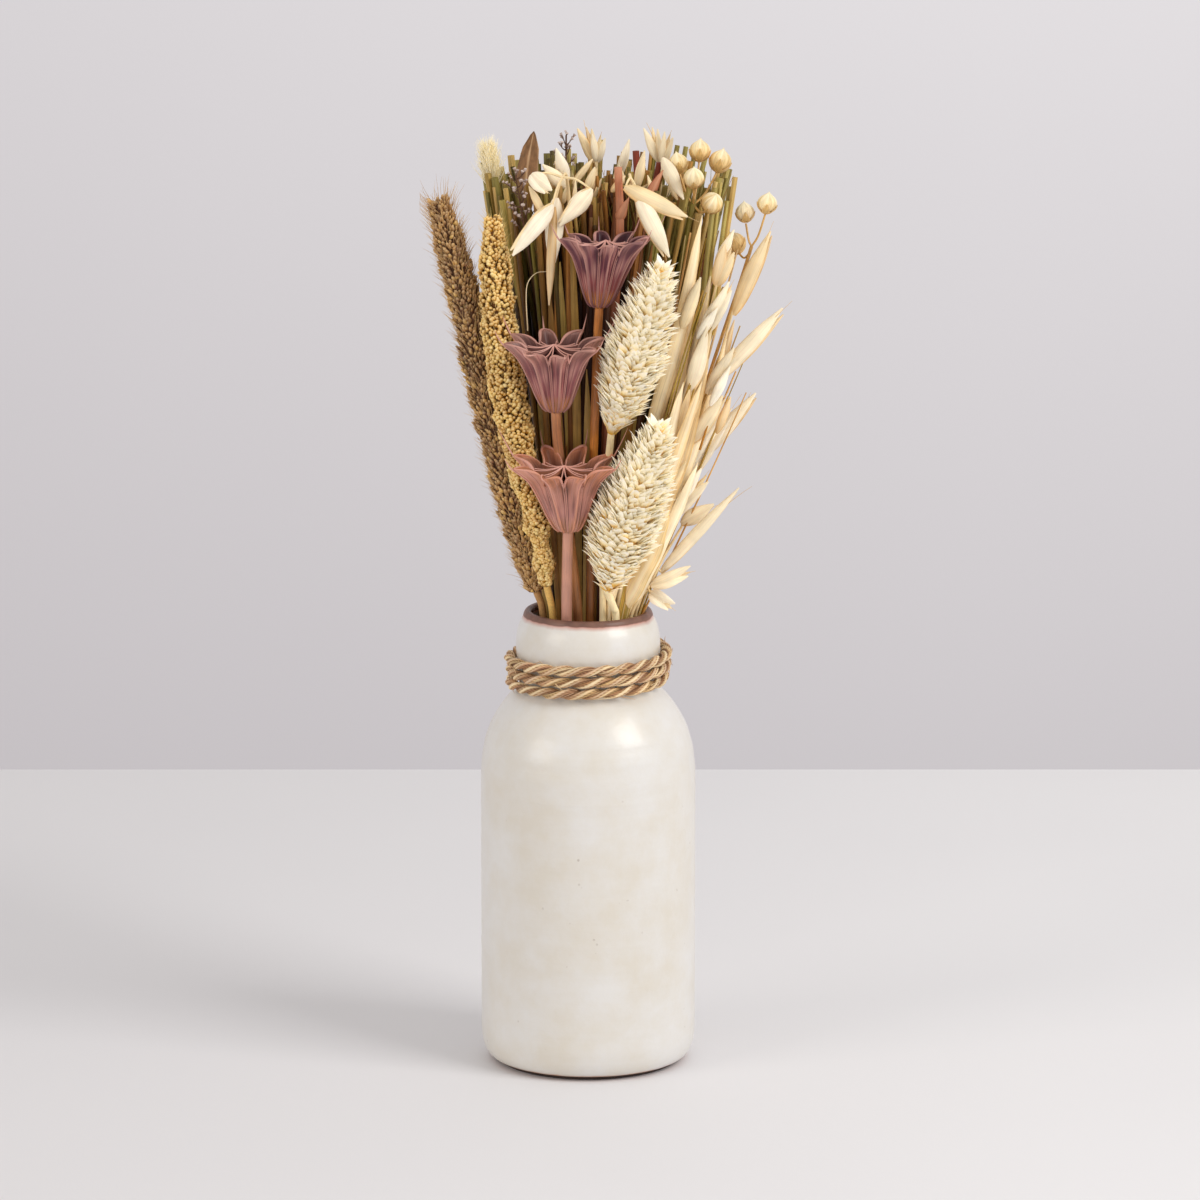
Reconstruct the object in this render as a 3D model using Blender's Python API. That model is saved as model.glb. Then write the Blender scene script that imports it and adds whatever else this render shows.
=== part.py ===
"""Vase of dried flowers: a stoneware bottle, the rope round its neck and the dried bunch that stands in it.

Lengths below are millimetres, and add_object turns them into metres. X runs to the right, Y away from the
viewer and Z up. The origin is the centre of the flat base.
"""

import math
import random

import bmesh
import bpy
import numpy as np

MM = 0.001
GAP = 0.3
GOLDEN_ANGLE = math.radians(137.5)
SEED = 11

# Vase
FOOT_RADIUS = 27.6
FOOT_HEIGHT = 1.2
BODY_RADIUS = 32.7
BODY_TOP = 88.0
SHOULDER = (29.0, 106.3)
NECK_RADIUS = 20.6
NECK_LEVEL = 120.5
COLLAR_RADIUS = 21.9
COLLAR_LEVEL = 129.0
RIM_LEVEL = 140.2
MOUTH_RADIUS = 16.9
WALL = 3.7
FLOOR = 6.0
VASE_SIDES = 30

# Rope
CORD_RADIUS = 1.72
CORD_PITCH = 3.62
CORD_TURNS = 3
CORD_START = 117.0
CORD_STEPS = 26
CORD_SIDES = 6

# Seed pods, from the foot to the open edge: share of the height, of the reach, of the radius lost between two
# carpels and of the reach by which the edge sags there
POD_CARPELS = 8
POD_WALL = 1.0
POD_HEIGHTS = (0.0, 0.07, 0.25, 0.5, 0.78, 1.0)
POD_RADII = (0.13, 0.27, 0.42, 0.55, 0.72, 1.0)
POD_DIPS = (0.06, 0.14, 0.2, 0.26, 0.34, 0.5)
POD_SAGS = (0.0, 0.0, 0.0, 0.02, 0.1, 0.28)

# Straw bundle: its section at the rim and at the top, and the core that the straws stand out of
RIM_CENTRE = (-0.5, 5.5)
RIM_HALF = (13.4, 9.6)
TOP_CENTRE = (5.5, 12.0)
TOP_HALF = (37.6, 21.6)
TOP_LEVEL = 269.0
SECTION_POWER = 2.2
CORE_TOP = 249.0
CORE_LEVELS = (FLOOR + GAP, 112.0, RIM_LEVEL, CORE_TOP)
CORE_SHARE = 0.9
CORE_SIDES = 24
STRAW_RADIUS = 1.2
STRAW_SIDES = 5
# Each ring of straws: its share of the section, its count and the height that it starts from
STRAW_RINGS = (
    (0.955, 36, 116.0),
    (0.94, 28, 190.0),
    (0.78, 22, 244.0),
    (0.56, 15, 244.0),
    (0.3, 8, 244.0),
)
# Height of the front row's cut ends, how the ends rise toward the back, and how far each may be off
FRONT_TOP = 267.0
TOP_RISE = (2.5, 1.5)
TOP_SPREAD = (-4.0, 2.0)
# How much a straw may be cut short to keep clear of what stands over it
CUTS = (0.0, 5.0, 10.0, 15.0)
STRAW_GAP = 0.45
# What stands in the bundle's top starts from this height
SOCKET_LEVEL = 236.0

# Each stem's place in the mouth
MOUTH = {
    "brown_foxtail_millet": (-13.6, -4.8),
    "golden_foxtail_millet": (-10.6, -9.6),
    "seed_pod_lower": (-6.4, -12.7),
    "seed_pod_middle": (-3.0, -9.3),
    "seed_pod_upper": (0.7, -9.2),
    "pink_stem": (3.6, -6.4),
    "canary_grass_upper": (4.5, -11.2),
    "canary_grass_lower": (8.4, -12.1),
    "straw_leaf_long": (7.6, -7.6),
    "straw_leaf_short": (10.3, -9.2),
    "straw_leaf_side": (12.8, -3.2),
    "oat_right_inner": (11.3, -6.2),
    "oat_right_low": (12.9, -8.3),
    "oat_right_tall": (14.2, -5.2),
    "oat_right_middle": (15.0, -1.6),
    "flax_right": (15.4, 1.4),
}

WIDE = (0.0, 1.0, 0.0)
keep_out = []
sockets = []


def clear_scene():
    for obj in list(bpy.data.objects):
        bpy.data.objects.remove(obj)


def material(name, colour, roughness, metallic=0.0):
    mat = bpy.data.materials.new(name)
    mat.use_nodes = True
    shader = mat.node_tree.nodes["Principled BSDF"]
    shader.inputs["Base Color"].default_value = (*colour, 1.0)
    shader.inputs["Roughness"].default_value = roughness
    shader.inputs["Metallic"].default_value = metallic
    return mat


def add_object(name, shell, mat, collection=None):
    """An object from one closed skin, its faces turned outward and shaded smooth up to a 40 degree edge."""
    verts, faces = shell
    mesh = bpy.data.meshes.new(name)
    mesh.from_pydata([tuple(v) for v in np.asarray(verts) * MM], [], faces)
    mesh.materials.append(mat)
    bm = bmesh.new()
    bm.from_mesh(mesh)
    bmesh.ops.recalc_face_normals(bm, faces=bm.faces)
    bm.to_mesh(mesh)
    bm.free()
    obj = bpy.data.objects.new(name, mesh)
    (collection or bpy.context.scene.collection).objects.link(obj)
    mesh.shade_smooth()
    mesh.set_sharp_from_angle(angle=math.radians(40))
    return obj


def apply_modifiers(obj):
    depsgraph = bpy.context.evaluated_depsgraph_get()
    mesh = bpy.data.meshes.new_from_object(obj.evaluated_get(depsgraph))
    obj.modifiers.clear()
    obj.data = mesh


def combine(obj, shells, operation):
    """One Boolean on a collection of closed skins, applied, with the collection's objects then removed."""
    tools = bpy.data.collections.new(obj.name + "_repeats")
    bpy.context.scene.collection.children.link(tools)
    for shell in shells:
        add_object(obj.name + "_repeat", shell, obj.data.materials[0], tools)
    boolean = obj.modifiers.new(operation.title(), "BOOLEAN")
    boolean.operation = operation
    boolean.operand_type = "COLLECTION"
    boolean.collection = tools
    boolean.solver = "MANIFOLD"
    apply_modifiers(obj)
    for repeat in list(tools.objects):
        bpy.data.objects.remove(repeat)
    bpy.data.collections.remove(tools)


def keep_largest(obj):
    """Keeps the largest connected skin: a sealed hollow is filled that way, and a loose scrap is dropped."""
    bm = bmesh.new()
    bm.from_mesh(obj.data)
    bmesh.ops.triangulate(bm, faces=bm.faces)
    left = set(bm.faces)
    groups = []
    while left:
        stack = [left.pop()]
        group = set(stack)
        while stack:
            for edge in stack.pop().edges:
                for face in edge.link_faces:
                    if face in left:
                        left.remove(face)
                        group.add(face)
                        stack.append(face)
        groups.append(group)
    largest = max(groups, key=len)
    bmesh.ops.delete(bm, geom=[face for face in bm.faces if face not in largest], context="FACES")
    bm.to_mesh(obj.data)
    bm.free()
    obj.data.shade_smooth()
    obj.data.set_sharp_from_angle(angle=math.radians(40))


def fuse(name, shells, mat):
    """A node made of several closed skins, joined into one solid."""
    obj = add_object(name, shells[0], mat)
    combine(obj, shells[1:], "UNION")
    keep_largest(obj)


def unit(vector):
    return np.asarray(vector, float) / np.linalg.norm(vector)


def curve(start, handle, end, steps):
    """Points of a quadratic curve, without its start."""
    t = np.linspace(0, 1, steps + 1)[1:, None]
    start, handle, end = np.array(start), np.array(handle), np.array(end)
    return (1 - t) ** 2 * start + 2 * t * (1 - t) * handle + t**2 * end


def smooth(points, count):
    """Points of a smooth curve through the given ones, ends included."""
    p = np.array(points, float)
    p = np.vstack([2 * p[0] - p[1], p, 2 * p[-1] - p[-2]])
    t = np.linspace(0, len(p) - 3 - 1e-9, count)
    i = t.astype(int)
    f = (t - i)[:, None]
    a, b, c, d = p[i], p[i + 1], p[i + 2], p[i + 3]
    return 0.5 * (2 * b + (c - a) * f + (2 * a - 5 * b + 4 * c - d) * f**2 + (3 * b - a - 3 * c + d) * f**3)


def loft(rings, first=None, last=None):
    """A closed skin over rings of equal length, each end closed by a pole point or else by one flat face."""
    rings = [np.asarray(ring) for ring in rings]
    sides = len(rings[0])
    verts = [point for ring in rings for point in ring]
    faces = []
    for row in range(len(rings) - 1):
        for j in range(sides):
            a, b = row * sides + j, row * sides + (j + 1) % sides
            faces.append((a, b, b + sides, a + sides))
    for pole, start in ((first, 0), (last, (len(rings) - 1) * sides)):
        ring = list(range(start, start + sides))
        if pole is None:
            faces.append(ring[::-1] if start == 0 else ring)
            continue
        verts.append(np.asarray(pole, float))
        for j in range(sides):
            faces.append((ring[j], ring[(j + 1) % sides], len(verts) - 1))
    return verts, faces


def rings_along(path, widths, depths, sides, face=WIDE):
    """Rings across a path: widths run across it, and depths run toward the face direction."""
    path = np.asarray(path, float)
    tangents = np.gradient(path, axis=0)
    angles = 2 * math.pi * np.arange(sides) / sides
    rings = []
    for point, tangent, width, depth in zip(path, tangents, widths, depths):
        across = unit(np.cross(unit(tangent), face))
        up = np.cross(across, unit(tangent))
        rings.append(point + width * np.cos(angles)[:, None] * across + depth * np.sin(angles)[:, None] * up)
    return rings


def tube(path, radius, sides, end_radius=None, face=WIDE):
    """A round bar along a path, with flat ends."""
    radii = np.linspace(radius, radius if end_radius is None else end_radius, len(path))
    return loft(rings_along(path, radii, radii, sides, face))


def spindle(path, widths, depths, sides=4, face=WIDE):
    """A closed skin with a point at each end of the path and a ring at each of its other points."""
    rings = rings_along(path, widths, depths, sides, face)
    return loft(rings[1:-1], path[0], path[-1])


def guard(path, radius):
    """Keeps the straws clear of a path by a radius."""
    path = np.asarray(path, float)
    steps = max(2, int(np.linalg.norm(np.diff(path, axis=0), axis=1).sum() / 1.5))
    fine = smooth(path, steps)
    radii = np.interp(np.linspace(0, 1, steps), np.linspace(0, 1, np.size(radius)), np.atleast_1d(radius))
    keep_out.append((fine, radii))


def stem_path(mouth, *points, count=9):
    """A stem's route: from the vase's floor to its place in the mouth, then through the given points."""
    x, y = mouth
    low = [(x * 0.9, y * 0.9, FLOOR + GAP), (x, y, RIM_LEVEL - 22)]
    upper = smooth([(x, y, RIM_LEVEL - 22), (x, y, RIM_LEVEL - 1), *points], count - 1)
    return np.vstack([low[:1], upper])


def vase_outline():
    """Radius and height up the outside, over the lip and down the inside, and the length of the outside."""
    shoulder_end = (22.0, 115.6)
    outside = np.vstack(
        [
            [(FOOT_RADIUS, 0.0), (FOOT_RADIUS, FOOT_HEIGHT), (28.4, FOOT_HEIGHT)],
            curve((28.4, FOOT_HEIGHT), (32.2, 1.6), (BODY_RADIUS, 10.0), 3),
            [(BODY_RADIUS, BODY_TOP)],
            curve((BODY_RADIUS, BODY_TOP), (BODY_RADIUS, 99.5), SHOULDER, 3),
            curve(SHOULDER, (25.6, 112.6), shoulder_end, 3),
            curve(shoulder_end, (NECK_RADIUS, 116.8), (NECK_RADIUS, NECK_LEVEL), 2),
            curve((NECK_RADIUS, NECK_LEVEL), (21.7, 123.0), (COLLAR_RADIUS, COLLAR_LEVEL), 3),
            curve((COLLAR_RADIUS, COLLAR_LEVEL), (COLLAR_RADIUS, 135.0), (19.8, 138.0), 3),
            curve((19.8, 138.0), (19.4, RIM_LEVEL + 0.2), (18.2, RIM_LEVEL), 2),
        ]
    )
    inside = np.vstack(
        [
            curve((18.2, RIM_LEVEL), (MOUTH_RADIUS, RIM_LEVEL), (MOUTH_RADIUS, 138.2), 2),
            [(MOUTH_RADIUS, 118.5)],
            curve((MOUTH_RADIUS, 118.5), (17.2, 114.8), (19.6, 112.8), 1),
            curve((19.6, 112.8), (25.2, 109.0), (BODY_RADIUS - WALL, BODY_TOP), 3),
            [(BODY_RADIUS - WALL, 14.0)],
            curve((BODY_RADIUS - WALL, 14.0), (BODY_RADIUS - WALL, FLOOR), (21.0, FLOOR), 2),
        ]
    )
    return outside, inside


def turned(outline, sides):
    angles = 2 * math.pi * np.arange(sides) / sides
    return [np.column_stack([r * np.cos(angles), r * np.sin(angles), np.full(sides, z)]) for r, z in outline]


def build_vase(mat):
    outside, inside = vase_outline()
    rings = turned(np.vstack([outside, inside]), VASE_SIDES)
    add_object("vase", loft(rings, None, (0.0, 0.0, FLOOR)), mat)


def build_rope(mat):
    """A cord wound round the neck: its centre keeps to the widest neck radius beside it, a gap away."""
    outside, _ = vase_outline()
    levels = np.linspace(NECK_LEVEL - 6, COLLAR_LEVEL, 40)
    neck = np.interp(levels, outside[:, 1], outside[:, 0])
    count = CORD_TURNS * CORD_STEPS + 1
    angle = math.pi / 2 + np.linspace(0, 2 * math.pi * CORD_TURNS, count)
    z = CORD_START + CORD_PITCH * np.linspace(0, CORD_TURNS, count)
    near = np.array([neck[np.abs(levels - height) < CORD_RADIUS].max() for height in z])
    radius = near + GAP + CORD_RADIUS
    path = np.column_stack([radius * np.cos(angle), radius * np.sin(angle), z])
    add_object("neck_rope", tube(path, CORD_RADIUS, CORD_SIDES, face=(0.0, 0.0, 1.0)), mat)


def pod_skin(base, top, reach, squash, turn):
    """A ribbed bell: the radius grows up the wall and dips between carpels, so each rib ends in a beak."""
    columns = POD_CARPELS * 4
    angles = turn + 2 * math.pi * np.arange(columns) / columns
    dip = np.abs(np.sin(POD_CARPELS * (angles - turn) / 2))

    def ring(row, inset):
        r = reach * POD_RADII[row] * (1 - POD_DIPS[row] * dip) - inset * (2.5 - 1.5 * dip)
        x, y = r * np.cos(angles), r * np.sin(angles)
        y = np.where(y > 0, y * squash, y)
        centre = base + (top - base) * POD_HEIGHTS[row]
        return np.column_stack([centre[0] + x, centre[1] + y, centre[2] - POD_SAGS[row] * reach * dip])

    rings = [ring(row, 0.0) for row in range(6)] + [ring(row, POD_WALL) for row in (5, 4, 3)]
    return loft(rings, None, base + (top - base) * (POD_HEIGHTS[3] - 0.04))


def build_pod(name, mat, bend, base, top, reach, squash, stem_radius, turn):
    """A seed pod on its stem, flatter at the back: the stem ends inside the pod's solid foot."""
    base, top = np.array(base), np.array(top)
    path = stem_path(MOUTH[name], *bend, base, base + 0.12 * (top - base))
    stem = tube(path, stem_radius, 6, stem_radius * 0.9)
    fuse(name, [pod_skin(base, top, reach, squash, turn), stem], mat)
    guard(path, stem_radius)


def around(path, share, angle, face=WIDE):
    """A point on a path, the directions along it there, and the one outward at an angle."""
    place = share * (len(path) - 1)
    low = min(int(place), len(path) - 2)
    point = path[low] + (path[low + 1] - path[low]) * (place - low)
    along = unit(path[low + 1] - path[low])
    across = unit(np.cross(along, face))
    outward = math.cos(angle) * across + math.sin(angle) * np.cross(across, along)
    return point, along, outward


def spike(root, tip, width, depth, face):
    """A small four-sided leaf: a point sunk in its carrier, one wide ring and a free tip."""
    path = np.array([root, root + (tip - root) * 0.35, tip])
    return spindle(path, (0, width, 0), (0, depth, 0), 4, face)


def bead(centre, radius, along):
    """A small flower with six corners, a little longer along its carrier."""
    path = np.array([centre - along * radius * 1.15, centre, centre + along * radius * 1.15])
    return spindle(path, (0, radius, 0), (0, radius, 0), 4, (0.3, 1.0, 0.2))


def raised_skin(path, radii, sides, rows, height, rise):
    """A skin whose every other corner is raised: outward by a height, and up along the path by a rise."""
    path = smooth(path, rows)
    share = np.linspace(0, 1, rows)
    sizes = np.interp(share, np.linspace(0, 1, len(radii)), radii)
    rings = rings_along(path, sizes, sizes, sides)
    tangents = np.gradient(path, axis=0)
    for row in range(1, rows - 1):
        raised = (np.arange(sides) + row) % 2 == 0
        outward = (rings[row] - path[row]) / sizes[row]
        reach = height * min(1.0, 0.45 + sizes[row] / max(radii))
        vary = np.array([random.uniform(0.8, 1.2) for _ in range(sides)])[:, None]
        lift = (outward * reach + unit(tangents[row]) * rise) * vary
        rings[row] = rings[row] + np.where(raised[:, None], lift, 0.0)
    tip = path[-1] + unit(tangents[-1]) * sizes[-1]
    return loft(rings, path[0] - unit(tangents[0]) * 0.5, tip)


def build_head(name, mat, stem, stem_radius, head, radii, sides, rows, height, rise):
    """A seed head on its stem, with its seeds raised from the surface."""
    path = smooth(head, 8)
    shells = [raised_skin(head, radii, sides, rows, height, rise)]
    shells.append(tube(np.vstack([stem, path[:2]]), stem_radius, 5))
    fuse(name, shells, mat)
    guard(path, np.interp(np.linspace(0, 1, 8), np.linspace(0, 1, len(radii)), radii) + height)
    guard(stem, stem_radius)


def spikelet(base, tip, width=2.1, gape=0.3):
    """Two papery husks from one point, opened by the gape; the second is shorter."""
    base, tip = np.array(base, float), np.array(tip, float)
    length = np.linalg.norm(tip - base)
    along = (tip - base) / length
    across = unit(np.cross(along, WIDE))
    husks = []
    for side, share in ((-0.5, 1.0), (0.5, 0.86)):
        direction = unit(along + across * gape * side)
        path = base + direction * (length * share) * np.array([-0.06, 0.3, 0.62, 1.0])[:, None]
        path[1:3] += across * side * 0.5
        husks.append(spindle(path, (0, width, width * 0.72, 0), (0, width * 0.55, width * 0.4, 0)))
    return husks


def build_oat(name, mat, stalk, spikelets, radius=0.7, width=2.1):
    """A stalk, and thin pedicels that carry a spikelet each; a row of spikelets gives base, tip and gape."""
    path = np.asarray(stalk, float)
    shells = [tube(path, radius, 3, radius * 0.8)]
    for base, tip, gape in spikelets:
        base = np.array(base, float)
        nearest = path[np.argmin(np.linalg.norm(path - base, axis=1))]
        if np.linalg.norm(nearest - base) > 1.0:
            middle = (nearest + base) / 2 + np.array([0.0, 0.0, 0.12 * np.linalg.norm(nearest - base)])
            pedicel = smooth([nearest, middle, base], 4)
            pedicel[-1] += unit(np.array(tip) - base) * 1.2
            shells.append(tube(pedicel, 0.5, 3))
            guard(pedicel, 0.6)
        shells.extend(spikelet(base, tip, width, gape))
        guard(np.array([base, tip], float), (0.8, width + 0.4, width, 0.8))
    fuse(name, shells, mat)
    guard(path, radius)


def build_blade(name, mat, points, width, depth=0.5):
    """A long thin leaf: narrow in the vase, wide above the rim and pointed at its end."""
    path = stem_path(MOUTH[name], *points, count=11)
    top = path[-1][2]
    heights = (FLOOR, RIM_LEVEL, RIM_LEVEL + 22, top - 16, top)
    widths = np.interp(path[:, 2], heights, (0.6, 0.7, width, width, 0.3))
    depths = np.full(len(path), depth)
    add_object(name, loft(rings_along(path, widths, depths, 4)[:-1], None, path[-1]), mat)
    guard(path, width * 0.6)


def build_flax(name, mat, stalk, capsules, radius=0.6):
    """Round seed capsules with a small tip, each on a pedicel from the stalk."""
    path = np.asarray(stalk, float)
    shells = [tube(path, radius, 4)]
    for centre in capsules:
        centre = np.array(centre, float)
        nearest = path[np.argmin(np.linalg.norm(path - centre, axis=1))]
        middle = (nearest + centre) / 2 + np.array([0.0, 0.0, -1.5])
        pedicel = smooth([nearest, middle, centre], 4)
        shells.append(tube(pedicel, 0.5, 3))
        up = unit(unit(centre - nearest) + np.array([0.0, 0.0, 1.0]))
        ball = centre + up * np.array([-3.3, -2.0, 0.6, 2.6, 4.6])[:, None]
        sizes = (0, 2.7, 3.5, 2.3, 0)
        shells.append(spindle(ball, sizes, sizes, 6, (0.31, 0.9, 0.3)))
        guard(pedicel, 0.6)
        guard(ball, 3.2)
    fuse(name, shells, mat)
    guard(path, radius)


def build_sprig(name, mat, foot, tip, count, reach):
    """A fine branching sprig: a thin stem with short twigs, each with a small flower at its end."""
    path = smooth([foot, (np.array(foot) * 0.4 + np.array(tip) * 0.6), tip], 5)
    shells = [tube(path, 0.5, 4)]
    for k in range(count):
        share = 0.45 + 0.55 * (k + 0.5) / count
        point, along, outward = around(path, share, k * GOLDEN_ANGLE)
        end = point + outward * reach * (0.6 + 0.4 * (k % 2)) + along * reach * 0.8
        shells.append(tube(np.array([point, end]), 0.35, 3, face=(0.2, 0.4, 1.0)))
        shells.append(bead(end, 0.95, along))
    fuse(name, shells, mat)
    guard(path, reach * 0.9)
    return path


def section(z):
    """Centre and half sizes of the straw bundle at a height: they fan out in straight lines from the rim."""
    share = max((z - RIM_LEVEL) / (TOP_LEVEL - RIM_LEVEL), -0.22)
    centre = np.array(RIM_CENTRE) + share * (np.array(TOP_CENTRE) - np.array(RIM_CENTRE))
    half = np.array(RIM_HALF) + share * (np.array(TOP_HALF) - np.array(RIM_HALF))
    return centre, half


def bundle_point(share, angle, z):
    centre, half = section(z)
    c, s = math.cos(angle), math.sin(angle)
    power = 2 / SECTION_POWER
    u = math.copysign(abs(c) ** power, c) * share
    v = math.copysign(abs(s) ** power, s) * share
    return np.array([centre[0] + half[0] * u, centre[1] + half[1] * v, z])


def is_clear(path, radius):
    """True where a straw keeps away from everything that stands in front of the bundle or in it."""
    steps = max(2, int(np.linalg.norm(path[1] - path[0]) / 1.5))
    fine = np.linspace(path[0], path[1], steps)
    for other, radii in keep_out:
        distance = np.linalg.norm(fine[:, None] - other[None], axis=2)
        if (distance < radii[None] + radius + STRAW_GAP).any():
            return False
    return True


def build_bundle(mat):
    """A core that fans out from the neck, straws half sunk round it and cut ends standing out of its top."""
    angles = 2 * math.pi * np.arange(CORE_SIDES) / CORE_SIDES
    rings = [[bundle_point(CORE_SHARE, angle, z) for angle in angles] for z in CORE_LEVELS]
    shells = [loft(rings)]
    for share, count, start in STRAW_RINGS:
        for k in range(count):
            angle = 2 * math.pi * (k + 0.5 * (count % 2) + random.uniform(-0.22, 0.22)) / count
            place = share + random.uniform(-0.02, 0.01)
            back = 1 + place * math.sin(angle)
            top = FRONT_TOP + TOP_RISE[0] * back + TOP_RISE[1] * back**2 + random.uniform(*TOP_SPREAD)
            for cut in CUTS:
                path = np.array([bundle_point(place, angle, start), bundle_point(place, angle, top - cut)])
                if is_clear(path, STRAW_RADIUS):
                    shells.append(tube(path, STRAW_RADIUS * 0.94, STRAW_SIDES, STRAW_RADIUS))
                    break
    bundle = add_object("straw_bundle", shells[0], mat)
    combine(bundle, shells[1:], "UNION")
    combine(bundle, sockets, "DIFFERENCE")
    keep_largest(bundle)


def socket(path, radius):
    """A plain hole in the bundle's top for a stem that stands in it, a gap wider than the stem."""
    start, end = np.array(path[0], float), np.array(path[1], float)
    along = unit(end - start)
    reach = (CORE_TOP + 2.0 - start[2]) / along[2]
    sockets.append(tube(np.array([start - along * GAP, start + along * reach]), radius + 1.5 * GAP, 6))


def build_spikes(brown, golden):
    """The two foxtail millets, which lean out on the left."""
    head = [(-15.6, -5.4, 147), (-20.8, -5.0, 167), (-28.6, -5.0, 198), (-37.0, -6.0, 236)]
    head.append((-44.6, -7.0, 266))
    core = (1.6, 2.6, 2.9, 3.0, 2.9, 2.8, 1.7)
    name = "brown_foxtail_millet"
    build_head(name, brown, stem_path(MOUTH[name], count=4), 1.2, head, core, 10, 48, 1.5, 1.3)

    head = [(-12.4, -12.2, 150), (-15.4, -13.4, 170), (-21.4, -13.6, 196), (-26.2, -13.2, 226)]
    head.append((-28.4, -13.6, 262))
    core = (0.8, 2.0, 1.3, 2.8, 2.1, 3.4, 3.5, 3.6, 3.5, 3.4, 3.2, 3.0, 2.7, 1.5)
    name = "golden_foxtail_millet"
    build_head(name, golden, stem_path(MOUTH[name], count=4), 1.2, head, core, 10, 48, 1.5, 0.4)


def build_pods(mauve, copper):
    """Three seed pods, one above the other: each upper stem passes behind the pod below."""
    bend = [(-6.3, -16.5, 153)]
    base, top = (-6.0, -21.5, 168.4), (-7.2, -25.0, 190)
    build_pod("seed_pod_lower", copper, bend, base, top, 16.4, 0.95, 1.7, math.radians(22.5))

    bend = [(-5.6, -12.0, 166), (-8.8, -13.6, 192)]
    base, top = (-9.6, -20.4, 204.6), (-10.1, -24.0, 226.6)
    build_pod("seed_pod_middle", mauve, bend, base, top, 15.4, 0.65, 1.55, math.radians(11.5))

    bend = [(1.0, -10.4, 166), (2.6, -13.6, 218)]
    base, top = (3.4, -17.6, 235.8), (5.4, -20.8, 257.3)
    build_pod("seed_pod_upper", mauve, bend, base, top, 14.0, 0.7, 1.4, math.radians(8.6))


def build_canary_heads(cream):
    """Two plump heads of pointed bracts, widest a little below the middle."""
    plump = np.sin(math.pi * np.linspace(0.05, 0.96, 9) ** 0.87) ** 0.8
    name = "canary_grass_lower"
    stem = stem_path(MOUTH[name], (7.6, -14.6, 144), count=5)
    head = [(5.6, -19.5, 150), (11.8, -25.4, 174), (20.6, -28.0, 199)]
    build_head(name, cream, stem, 1.15, head, 8.8 * plump, 14, 26, 2.6, 3.6)

    name = "canary_grass_upper"
    stem = stem_path(MOUTH[name], (4.8, -11.4, 172), count=6)
    head = [(6.9, -21.0, 198), (14.0, -25.4, 223), (21.0, -26.8, 246.5)]
    build_head(name, cream, stem, 1.1, head, 7.4 * plump, 14, 26, 2.5, 3.6)


def build_front_oats(husk):
    """Two oat stalks that stand in the bundle's top and droop over its front edge."""
    route = [(-5.0, -3.0, SOCKET_LEVEL), (-5.4, -4.6, 262), (-6.4, -9.0, 274), (-7.6, -14.0, 274.5)]
    stalk = smooth(route, 7)
    socket(stalk, 1.0)
    spikelets = [
        ((-10.7, -18.0, 266.5), (-22.4, -21.0, 252), 0.16),
        ((0.9, -16.0, 271), (-8.4, -18.0, 260.5), 0.18),
        ((-16.6, -14.0, 275), (-11.4, -17.0, 270), 0.3),
        ((-9.5, -14.6, 268), (-11.0, -15.6, 249), 0.12),
    ]
    build_oat("oat_front_left", husk, stalk, spikelets)

    route = [(17.0, -3.0, SOCKET_LEVEL), (15.0, -4.6, 262), (12.6, -10.0, 274), (12.6, -15.0, 274.5)]
    stalk = smooth(route, 7)
    socket(stalk, 1.2)
    spikelets = [
        ((11.2, -18.0, 272), (29.6, -20.0, 263.5), 0.16),
        ((14.9, -18.4, 270), (24.2, -21.0, 251.5), 0.16),
    ]
    build_oat("oat_front_right", husk, stalk, spikelets)


def build_right_oats(husk):
    """The fan of oats on the right: for each stalk its route, then each spikelet's base, tip and gape."""
    fan = {
        "oat_right_low": (
            [(19.0, -7.0, 150), (23.2, -5.0, 158), (28.4, -1.0, 166)],
            [
                ((28.4, -1.0, 166), (48.6, 1.0, 178), 0.2),
                ((22.4, -5.6, 157), (36.6, -6.0, 171), 0.2),
                ((19.2, -7.4, 150), (31.0, -4.0, 153), 0.3),
                ((19.0, -9.6, 147), (25.6, -15.0, 143.6), 0.35),
            ],
        ),
        "oat_right_middle": (
            [(24.5, -3.4, 168), (34.2, 2.0, 187)],
            [
                ((34.2, 2.0, 187), (50.6, 4.0, 206), 0.2),
                ((31.0, -1.0, 181), (44.5, -4.0, 196), 0.2),
                ((25.5, -4.0, 170), (36.0, -8.0, 184), 0.25),
            ],
        ),
        "oat_right_tall": (
            [(27.0, -7.0, 180), (37.0, -6.0, 210), (44.0, -6.0, 235)],
            [
                ((44.0, -6.0, 235), (54.4, -6.0, 260), 0.12),
                ((38.6, -6.0, 216), (58.4, -2.0, 233), 0.2),
                ((36.0, -7.0, 208), (45.6, -11.0, 226), 0.2),
                ((31.0, -7.4, 193), (41.4, -11.0, 208), 0.2),
            ],
        ),
        "oat_right_inner": (
            [(21.5, -11.6, 176), (29.6, -13.4, 206), (38.4, -13.0, 242)],
            [
                ((38.4, -13.0, 242), (42.6, -14.0, 263), 0.22),
                ((35.4, -13.6, 228), (43.0, -16.0, 247), 0.25),
                ((30.6, -13.6, 210), (34.6, -17.0, 230), 0.25),
                ((26.0, -12.8, 194), (32.4, -16.0, 210), 0.25),
                ((21.6, -11.8, 176), (28.6, -14.0, 191), 0.25),
            ],
        ),
    }
    for name, (route, spikelets) in fan.items():
        build_oat(name, husk, stem_path(MOUTH[name], *route), spikelets, width=1.75)


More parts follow.
